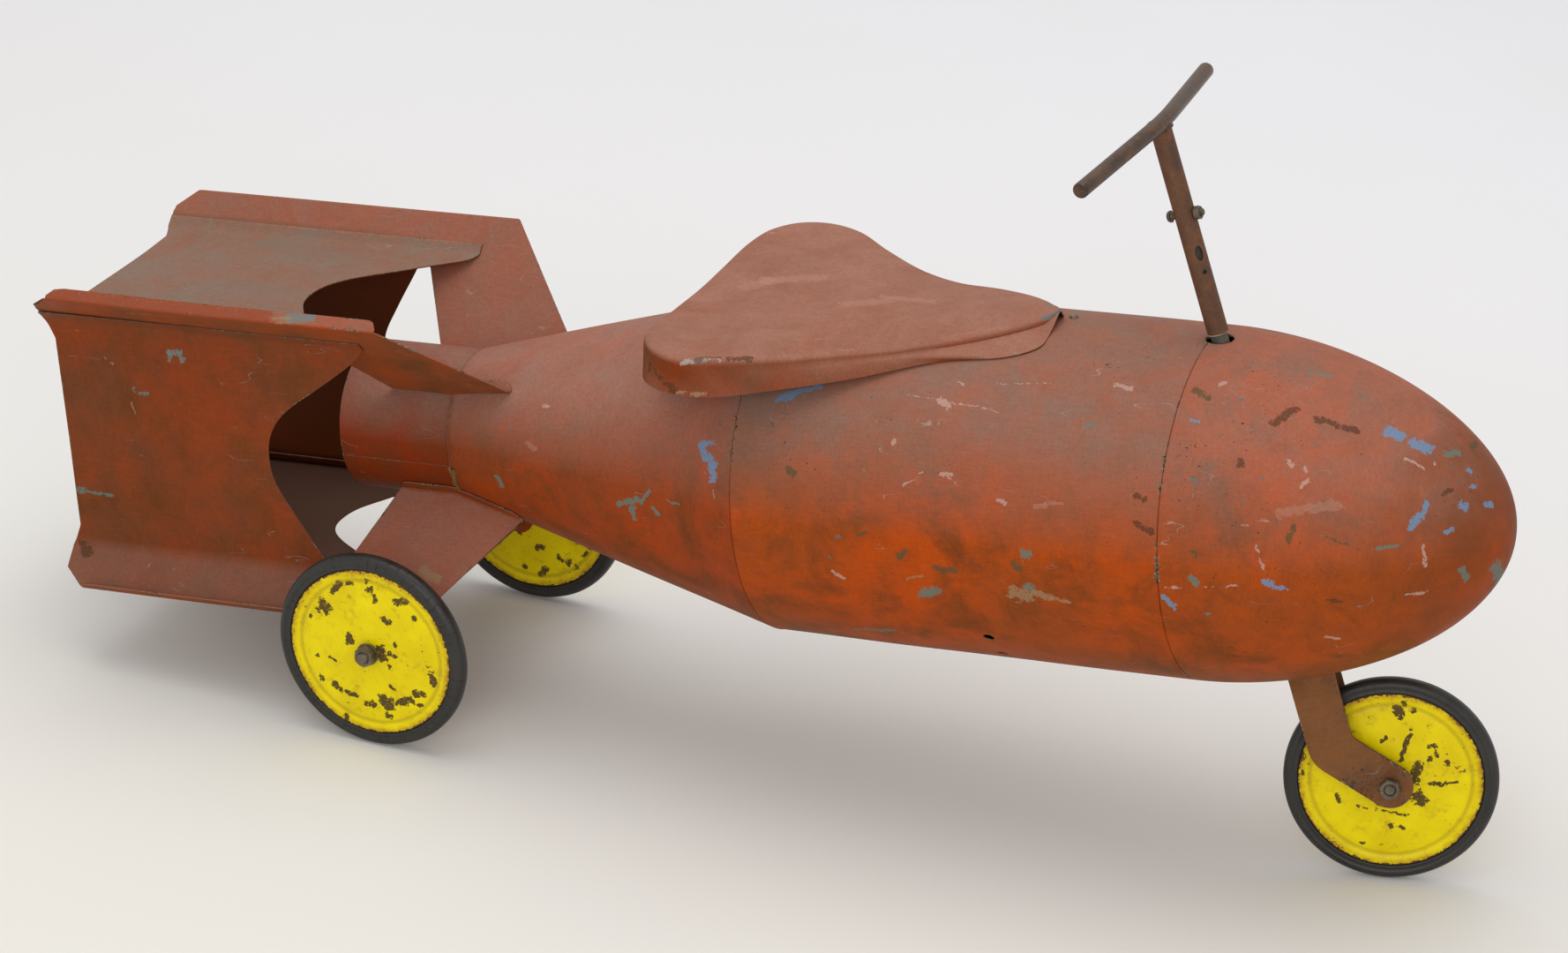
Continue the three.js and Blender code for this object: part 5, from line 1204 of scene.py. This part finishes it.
def tyre_grid():
    # Half the section: how far out from its middle, and how far below the tread or above the rim
    tread = [
        (1.2, 0.02), (2.6, 0.15), (4.2, 0.75), (5.6, 1.9), (6.6, 3.2), (7.2, 4.4), (TYRE_HALF, 5.6),
        (7.25, 6.5), (6.75, 7.4), (6.6, 8.4), (6.8, 9.4),
    ]
    foot = [(7.2, 2.4), (7.1, 1.4), (6.6, 0.9), (5.4, 0.6), (0.6, -4.4)]
    half = [[y, WHEEL_RADIUS - drop] for y, drop in tread] + [[y, RIM_RADIUS + rise] for y, rise in foot]
    return spun(half + [[-y, r] for y, r in reversed(half)], 160)


def ring_grid(outer, bore, low, high, bevel=0.4):
    return spun([
        [low, bore], [low, outer - bevel], [low + bevel, outer],
        [high - bevel, outer], [high, outer - bevel], [high, bore],
    ], 48)


def yellow_paint(name, seat, chips):
    material, tree = new_material(name)
    place = place_in(tree, seat)
    parts = split(place)
    flat = add_node(tree, "CombineXYZ", i0=parts[0], i2=parts[2]).outputs[0]
    radius = vector("LENGTH", flat)
    cloud = noise(place, 0.03, 5.0)
    grain = noise(place, 0.5, 3.0, 0.65)
    paint = blend(ramp(cloud, 0.35, 0.65), bright_yellow, deep_yellow)
    smear = noise(place, 0.09, 7.0, 0.7)
    stain = times(ramp(smear, 0.54, 0.74), 0.55)
    paint = blend(stain, paint, (0.32, 0.19, 0.012, 1))
    # Chips gather towards the rim and round the hub
    outward = ramp(radius, 40.0, 72.0, 0.0, 0.045)
    inward = ramp(radius, 12.0, 26.0, 0.075, 0.0)
    cluster = ramp(noise(place, 0.032, 2.0), 0.35, 0.7, -0.04, 0.07)
    pull = plus(outward, inward, cluster)
    flake = noise(place, 0.11, 9.0, 0.68, 0.2)
    chip = ramp(plus(flake, pull), 0.70, 0.715)
    fleck = ramp(plus(noise(place, 0.36, 3.0, 0.6), pull), 0.735, 0.75)
    chip = larger(chip, fleck)
    halo = ramp(plus(flake, pull), 0.655, 0.71)
    paint = blend(times(halo, 0.5), paint, (0.42, 0.22, 0.015, 1))
    spotted = ramp(noise(place, 0.30, 4.0, 0.6), 0.40, 0.72, -0.6, 2.2)
    rim = ramp(plus(radius, spotted), 75.3, 75.8)
    bleed = times(ramp(radius, 70.5, 74.5, 0.0, 0.8), ramp(smear, 0.36, 0.56))
    paint = blend(bleed, paint, (0.42, 0.21, 0.012, 1))
    rust = blend(ramp(grain, 0.35, 0.65), chip_brown, (0.17, 0.085, 0.03, 1))
    bare = larger(chip, rim)
    colour = blend(bare, paint, rust)
    marks = [((x1, 0, z1), (x2, 0, z2), width, "chip") for x1, z1, x2, z2, width in chips]
    colour, bare = add_marks(flat, marks, colour, bare, 8.0)
    groove = ramp(absolute(minus(radius, GROOVE_RADIUS)), 0.5, 2.6, 0.4, 0.0)
    colour = blend(groove, colour, (0.30, 0.20, 0.01, 1))
    height = minus(times(grain, 0.05), times(bare, 0.35))
    bump = add_node(tree, "Bump", Height=height, Distance=0.0006, Strength=0.6)
    rough = ramp(bare, 0.0, 1.0, 0.34, 0.75)
    return end_material(material, colour, rough, Normal=bump.outputs[0], Specular_IOR_Level=0.18)


angle_of, fraction = map(arithmetic, ("ARCTAN2", "FRACT"))


def tyre_rubber(name, seat, cracks):
    material, tree = new_material(name)
    place = place_in(tree, seat)
    cloud = noise(place, 0.04, 5.0)
    grain = noise(place, 0.9, 3.0, 0.7)
    colour = blend(ramp(cloud, 0.3, 0.7), (0.011, 0.010, 0.0085, 1), (0.024, 0.022, 0.0195, 1))
    colour = blend(times(ramp(grain, 0.55, 0.8), 0.5), colour, (0.12, 0.11, 0.095, 1))
    parts = split(place)
    wobble = times(noise(place, 0.12, 3.0), 0.10)
    teeth = fraction(times(plus(angle_of(parts[2], parts[0]), wobble), 9.5))
    crack = ramp(absolute(minus(teeth, 0.5)), 0.02, 0.05, 1.0, 0.0)
    crack = times(crack, ramp(noise(place, 0.06, 3.0), 0.44, 0.56), cracks)
    colour = blend(crack, colour, (0.006, 0.005, 0.005, 1))
    height = minus(times(grain, 0.12), crack)
    bump = add_node(tree, "Bump", Height=height, Distance=0.0008, Strength=0.7)
    rough = ramp(cloud, 0.3, 0.7, 0.36, 0.52)
    return end_material(material, colour, rough, Normal=bump.outputs[0], Specular_IOR_Level=0.45)


def rusted_steel(name, seat, dark, light, metal=0.25, rough=(0.5, 0.75), end=None, greased=None):
    """Evenly rusted steel. It may be rubbed bright at its lower end, or black with grease from a height."""
    material, tree = new_material(name)
    place = place_in(tree, seat)
    cloud = noise(place, 0.05, 6.0, 0.65)
    grain = noise(place, 0.6, 4.0, 0.7)
    colour = blend(ramp(cloud, 0.36, 0.64), dark, light)
    pits = times(ramp(grain, 0.52, 0.66), 0.55)
    colour = blend(pits, colour, (0.035, 0.018, 0.010, 1))
    bloom = times(ramp(noise(place, 0.12, 5.0, 0.7), 0.56, 0.70), 0.5)
    colour = blend(bloom, colour, (0.26, 0.10, 0.030, 1))
    height = split(place)[2]
    if greased is not None:
        colour = blend(ramp(height, greased, greased + 5, 0.0, 0.85), colour, (0.016, 0.013, 0.011, 1))
    if end is not None:
        uneven = plus(height, ramp(cloud, 0.3, 0.7, -0.8, 0.8))
        colour = blend(ramp(uneven, end + 0.5, end + 1.4, 0.85, 0.0), colour, (0.50, 0.46, 0.38, 1))
    bump = add_node(tree, "Bump", Height=grain, Distance=0.0004, Strength=0.5)
    rough = ramp(cloud, 0.3, 0.7, *rough)
    return end_material(material, colour, rough, Normal=bump.outputs[0], Metallic=metal)


def build_wheel(name, seat, body, cracks, chips, turned_by=0.0):
    chip_seat = seat @ Matrix.Rotation(math.radians(turned_by), 4, "Y")
    paint = yellow_paint(name + "_yellow_paint", chip_seat, chips)
    rubber = tyre_rubber(name + "_rubber", seat, cracks)
    half = HUB_LENGTH / 2
    bush = ring_grid(HUB_RADIUS, AXLE_RADIUS + SEAM_GAP, -half, half)
    for piece, grid, material, slot, node, crease in (
        ("pressing_left", disc_grid(1), paint, "yellow_paint", "disc_left", 50),
        ("pressing_right", disc_grid(-1), paint, "yellow_paint", "disc_right", 50),
        ("rubber", tyre_grid(), rubber, "tyre", "tyre", 50),
        ("bush", bush, hub_steel, "dark_steel", "hub", 40),
    ):
        made = steel_mesh(f"{name}_{piece}", [(grid, FAR_FROM_EDGE, True, True)], seat, crease)
        finish_piece(made, material, body, slot, f"{name}_{node}")


hub_steel = rusted_steel("rusted_hub_steel", BODY, (0.10, 0.065, 0.045, 1), (0.20, 0.14, 0.10, 1), 0.4)
build_wheel("front_wheel", FRONT_WHEEL, "front_wheel", 0.25, FRONT_CHIPS)
for side, sign, cracks, turned_by in (("left", 1, 0.3, 140), ("right", -1, 1.0, 0)):
    seat = REAR_AXLE @ Matrix.Translation((0, sign * REAR_TRACK_HALF, 0))
    build_wheel("rear_wheel_" + side, seat, "rear_wheel_" + side, cracks, REAR_CHIPS, turned_by)

# Handlebar and stem. A 13 mm bar, bent back at both ends, is welded across the top of a thin tube, which a
# bolt clamps to the steering rod. All of it has rusted brown.
BAR_RADIUS = 6.48
BAR_HEIGHT = 590.0
BAR_HALF = 143.5
BAR_AHEAD, BAR_SWEEP, BAR_DROP, BAR_BEND = 3.2, 17.0, 3.9, 25.0
SLEEVE_RADIUS = 8.75
SLEEVE_BOTTOM = 407.5
COLUMN_RADIUS = 7.1
COLUMN_BOTTOM, COLUMN_TOP = 121.7, 560.0
BOLT_RADIUS = 3.0
CLAMP_HEIGHT = 510.5
rust_dark = (0.050, 0.029, 0.018, 1)
rust_light = (0.112, 0.062, 0.036, 1)


def swept_rod(path, radius, facets=28, end_round=1.2):
    """A round rod along a path, with softened ends."""
    path = np.asarray(path, float)
    ahead = np.gradient(path, axis=0)
    ahead /= np.linalg.norm(ahead, axis=1)[:, None]
    up = np.cross(ahead, np.cross([0, 0, 1.0], ahead))
    up /= np.linalg.norm(up, axis=1)[:, None]
    side = np.cross(ahead, up)
    # Stations along the rod: a place on the path, how far ahead of it, and the radius there
    worn = end_round * 0.3
    end = [(0, 0.0), (0, radius - end_round), (worn, radius - worn), (end_round, radius)]
    stations = [(0, inset, size) for inset, size in end]
    stations += [(k, 0, radius) for k in range(1, len(path) - 1)]
    stations += [(-1, -inset, size) for inset, size in reversed(end)]
    angle = np.linspace(0, 2 * math.pi, facets, endpoint=False)[:, None]
    return np.array([
        path[k] + ahead[k] * inset + size * (np.cos(angle) * side[k] + np.sin(angle) * up[k])
        for k, inset, size in stations
    ])


def bar_path():
    straight = BAR_HALF - BAR_BEND / 2
    rows = []
    for y in np.linspace(-BAR_HALF, BAR_HALF, 61):
        beyond = max(abs(y) - BAR_BEND / 2, 0)
        eased = (abs(y) / BAR_BEND) ** 2 * (BAR_BEND / 2) if abs(y) < BAR_BEND else beyond
        rows.append((BAR_AHEAD - BAR_SWEEP / straight * eased, y, BAR_HEIGHT - BAR_DROP / straight * eased))
    return rows


def bar_weld():
    reach = SLEEVE_RADIUS - 0.4
    angle = np.linspace(0, 2 * math.pi, 46)
    x, y = reach * np.cos(angle), reach * np.sin(angle)
    across = np.clip((x - BAR_AHEAD) / BAR_RADIUS, -1, 1)
    return points_of(x, y, BAR_HEIGHT - BAR_RADIUS * np.sqrt(1 - across ** 2) * 0.9 - 0.8)


bar_steel = rusted_steel("rusted_bar_steel", STEERING, rust_dark, rust_light, 0.45, (0.30, 0.50))
sleeve_steel = rusted_steel(
    "rusted_stem_steel", STEERING, (0.078, 0.031, 0.013, 1), (0.150, 0.056, 0.021, 1), 0.1, end=SLEEVE_BOTTOM
)
bar_parts = [
    (swept_rod(bar_path(), BAR_RADIUS), FAR_FROM_EDGE, False, True),
    (weld_bead(bar_weld(), 1.7, 5), 0, False, True),
]
bar = steel_mesh("cross_bar", bar_parts, STEERING)
finish_piece(bar, bar_steel, "steering", "rusty_steel", "handlebar")


def tube_grid(outer, bore, low, high, bevel=0.5):
    """A tube along Z."""
    return ring_grid(outer, bore, low, high, bevel)[..., [0, 2, 1]] * (1, -1, 1)


def steering_drill(name, radius, depth, height, turn, shape=Matrix.Identity(4)):
    """A drill that stands out from the middle of the stem at a height."""
    seat = STEERING @ Matrix.Translation((0, 0, height)) @ turn @ shape
    return rod(name, radius, -20 if depth is None else 0, depth or 20, seat)


hole_turn = Matrix.Rotation(math.radians(43), 4, "Z") @ Matrix.Rotation(math.pi / 2, 4, "X")
clamp_turn = Matrix.Rotation(math.pi / 2, 4, "Y")
sleeve_grid = tube_grid(SLEEVE_RADIUS, COLUMN_RADIUS + SEAM_GAP, SLEEVE_BOTTOM, BAR_HEIGHT - 3.5)
sleeve = steel_mesh("stem_tube", [(sleeve_grid, 0, True, True)], STEERING)
carve(
    sleeve,
    steering_drill("oblong_drill", 3.2, 17.5, 478.5, hole_turn, Matrix.Diagonal((1, 13 / 6.4, 1, 1))),
    steering_drill("pin_drill", 2, 17.5, 462.4, hole_turn),
    steering_drill("clamp_drill", BOLT_RADIUS + SEAM_GAP, None, CLAMP_HEIGHT, clamp_turn),
)
finish_piece(sleeve, sleeve_steel, "steering", "rusty_steel", "stem_sleeve")
column_steel = rusted_steel(
    "steering_rod_steel", STEERING, (0.055, 0.057, 0.042, 1), (0.11, 0.11, 0.085, 1), 0.15, greased=412
)
column_length = COLUMN_TOP - COLUMN_BOTTOM
rod_profile = [
    [0, 0], [0, 6.3], [0.8, COLUMN_RADIUS], [column_length - 0.8, COLUMN_RADIUS], [column_length, 6.3],
    [column_length, 0],
]
column = steel_mesh(
    "steering_rod", [(spun(rod_profile, 48), 0, False, True)],
    STEERING @ Matrix.Translation((0, 0, COLUMN_BOTTOM)) @ Matrix.Rotation(math.pi / 2, 4, "X"),
)
carve(column, steering_drill("clamp_drill", BOLT_RADIUS + SEAM_GAP, None, CLAMP_HEIGHT, clamp_turn))
finish_piece(column, column_steel, "steering", "dark_steel", "steering_column")

# Fasteners. The clamp bolt has a low round head and a hexagon nut. The axles are threaded rods with hexagon
# nuts, washers and spacers. They are bare steel, rusted and greasy.
NUT_ACROSS, NUT_THICKNESS = 16.0, 7.5
AXLE_BORE = AXLE_RADIUS + SEAM_GAP
fastener_steel = rusted_steel(
    "fastener_steel", BODY, (0.080, 0.058, 0.038, 1), (0.20, 0.165, 0.120, 1), 0.5, (0.35, 0.55)
)


def threaded(length_from, length_to, radius, pitch, plain=None):
    """A rod along Y, threaded near both ends."""
    count = int((length_to - length_from) / (pitch / 2)) + 1
    rows = [[length_from, 0], [length_from, radius * 0.8]]
    for k, y in enumerate(np.linspace(length_from + 0.4, length_to - 0.4, count)):
        smooth = plain is not None and plain[0] < y < plain[1]
        rows.append([y, radius if smooth or k % 2 else radius * 0.88])
    rows += [[length_to, radius * 0.8], [length_to, 0]]
    return spun(rows, 32)


def hexagon_nut(across, thickness, bore, chamfer=0.8):
    """A nut that stands on y = 0, with its corners turned down."""
    flat, corner = across / 2, across / math.sqrt(3)
    angle = np.linspace(0, 2 * math.pi, 48, endpoint=False)
    folded = (angle + math.pi / 6) % (math.pi / 3) - math.pi / 6
    hexagon = flat / np.cos(folded)
    rows = []
    for y, limit in (
        (0, bore), (0, flat * 0.97), (0, flat), (chamfer, corner), (thickness - chamfer, corner),
        (thickness, flat), (thickness, flat * 0.97), (thickness, bore + 0.6), (thickness - 0.6, bore),
    ):
        radius = np.minimum(hexagon, limit)
        rows.append(points_of(radius * np.cos(angle), y, radius * np.sin(angle)))
    return np.array(rows)


def fastener(name, grid, seat, body, node, wrap=True):
    made = steel_mesh(name, [(grid, FAR_FROM_EDGE, wrap, True)], seat, 30)
    finish_piece(made, fastener_steel, body, "dark_steel", node)


fore_and_aft = STEERING @ Matrix.Translation((0, 0, CLAMP_HEIGHT)) @ Matrix.Rotation(-math.pi / 2, 4, "Z")
head_seat = -SLEEVE_RADIUS - 3.0
bolt_head = [(4, 0), (3.8, 2.2), (3.0, 3.9), (1.6, 4.8), (0, 5.0), (0, BOLT_RADIUS)]
bolt_profile = [[head_seat - rise, radius] for rise, radius in bolt_head]
for k, y in enumerate(np.arange(head_seat + 1, 16, 0.5)):
    bolt_profile.append([y, BOLT_RADIUS * (1 if k % 2 else 0.9)])
bolt_profile += [[16.5, BOLT_RADIUS * 0.8], [16.75, 0]]
fastener("clamp_screw", spun(bolt_profile, 32), fore_and_aft, "steering", "clamp_bolt", False)
fastener(
    "clamp_screw_nut", hexagon_nut(10, 5, BOLT_RADIUS + 0.2, 0.5),
    fore_and_aft @ Matrix.Translation((0, SLEEVE_RADIUS + 0.3, 0)), "steering", "clamp_nut",
)
hub_end, leg_outer, front_end, rear_end = HUB_LENGTH / 2, 20.9, 28.5, 178.0
fastener(
    "front_axle_bolt", threaded(-front_end, front_end, AXLE_RADIUS, 1.4, (-20, 20)), FRONT_WHEEL,
    "steering", "front_axle", False,
)
fastener(
    "rear_axle_rod", threaded(-rear_end, rear_end, AXLE_RADIUS, 1.4, (-165, 165)), REAR_AXLE,
    "chassis", "rear_axle", False,
)
front_ring = ring_grid(HUB_RADIUS, AXLE_BORE, 0, 6.3)
washer = ring_grid(10, AXLE_BORE, 0, 1.5, 0.2)
axle_nut = hexagon_nut(NUT_ACROSS, NUT_THICKNESS, 5.0)
for side, sign in (("left", 1), ("right", -1)):
    low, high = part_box(f"axle_collar_{side}")
    collar = ring_grid(8.05, AXLE_BORE, 0, (high.y - low.y) / MM)
    # Each stands at a distance from the wheel's middle or the toy's, and faces out or, the collar, in
    for piece, grid, seat, distance, facing, body, node in (
        ("front_distance_ring", front_ring, FRONT_WHEEL, hub_end + SEAM_GAP, 1, "steering", "front_spacer"),
        ("front_axle_nut", axle_nut, FRONT_WHEEL, leg_outer + SEAM_GAP, 1, "steering", "front_nut"),
        ("rear_axle_washer", washer, REAR_AXLE, REAR_TRACK_HALF + 10.3, 1, "chassis", "rear_washer"),
        ("rear_axle_nut", axle_nut, REAR_AXLE, REAR_TRACK_HALF + 12.1, 1, "chassis", "rear_nut"),
        ("rear_axle_ring", collar, REAR_AXLE, REAR_TRACK_HALF - 10.3, -1, "chassis", "axle_collar"),
    ):
        flip = Matrix.Rotation(0 if sign == facing else math.pi, 4, "X")
        seat = seat @ Matrix.Translation((0, sign * distance, 0)) @ flip
        fastener(f"{piece}_{side}", grid, seat, body, f"{node}_{side}")

# Fork. One strip, 38 by 4 mm, is bent over the front wheel to a U, and the steering rod passes through its
# crown. Its legs are cut to lean forward, and their ends are rounded. Its paint has mostly rusted away.
STRIP_HALF = 19.0
STRIP_THICKNESS = 4.0
CROWN_HEIGHT = 126.0
BEND_HEIGHT = 41.7
LEG_MIDDLE = 18.9
CROWN_BEND = 5.0
LEG_ROWS = 34


def leg_edges():
    """Rear and front edges of a leg, from the crown down to its round end."""
    lean = math.atan2(FORK_OFFSET, BEND_HEIGHT)
    shift = STRIP_HALF * math.tan(lean / 2)
    across = np.array([STRIP_HALF * math.cos(lean), STRIP_HALF * math.sin(lean)])
    axle = np.array([FORK_OFFSET, 0.0])
    top = CROWN_HEIGHT - STRIP_THICKNESS / 2 - CROWN_BEND
    rear = rounded_line([(-STRIP_HALF, top), (-STRIP_HALF, BEND_HEIGHT - shift), axle - across], 30, 10)
    front = rounded_line([(STRIP_HALF, top), (STRIP_HALF, BEND_HEIGHT + shift), axle + across], 3, 10)

    def even(line):
        line = np.array(line)
        way = np.concatenate([[0], np.cumsum(np.linalg.norm(np.diff(line, axis=0), axis=1))])
        share = np.linspace(0, way[-1], LEG_ROWS)
        return np.stack([np.interp(share, way, line[:, 0]), np.interp(share, way, line[:, 1])], -1)

    rear, front = even(rear), even(front)
    ahead = np.array([math.sin(lean), -math.cos(lean)])
    end = []
    for angle in np.linspace(0, math.pi / 2, 12)[1:]:
        low = axle + ahead * STRIP_HALF * math.sin(angle)
        end.append((low - across * math.cos(angle), low + across * math.cos(angle)))
    return list(zip(rear, front)) + end


def fork_surface():
    columns = np.concatenate([[0, 0.02, 0.06], np.linspace(0.12, 0.88, 12), [0.94, 0.98, 1]])
    middle_height = CROWN_HEIGHT - STRIP_THICKNESS / 2
    legs = leg_edges()
    sides = []
    for sign in (-1, 1):
        rows = []
        for rear, front in reversed(legs):
            x, z = rear[:, None] + (front - rear)[:, None] * columns
            rows.append(points_of(x, sign * LEG_MIDDLE, z))
        for angle in np.linspace(0, math.pi / 2, 6):
            inward, drop = CROWN_BEND * (1 - math.cos(angle)), CROWN_BEND * (1 - math.sin(angle))
            x = STRIP_HALF * (2 * columns - 1)
            rows.append(points_of(x, sign * (LEG_MIDDLE - inward), middle_height - drop))
        sides.append(rows)
    return np.array(sides[0] + sides[1][::-1])


fork_paint = red_paint(
    "fork_worn_paint", FORK, chips=1.6, scratches=0.6, edge_wear=1.6, dust=0.3,
    fresh=(0.23, 0.090, 0.030, 1), faded=(0.17, 0.080, 0.036, 1), old_share=0.15,
)
surface = fork_surface()
fork = steel_mesh("front_fork", sheet_part(surface, STRIP_THICKNESS, edge_distance(surface)), FORK, 40)
finish_piece(fork, fork_paint, "steering", "rusty_steel", "fork")

# Hidden steelwork. The head tube, its two straps, the seat strap, the axle lugs and the seat screw are plain
# flat or round stock, and keep their CAD shapes under finishes of their own.
hidden_steel = rusted_steel("hidden_strap_steel", BODY, (0.07, 0.035, 0.022, 1), (0.15, 0.07, 0.04, 1), 0.2)
lug_paint = red_paint("lug_red_paint", BODY, edge_wear=0.0, chips=0.5)
for material, node_names in (
    (hidden_steel, ("head_tube", "steering_strap_lower", "steering_strap_upper", "seat_strap")),
    (lug_paint, ("axle_lug_left", "axle_lug_right")),
    (fastener_steel, ("seat_screw",)),
):
    for node_name in node_names:
        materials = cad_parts[node_name].data.materials
        materials.clear()
        materials.append(material)
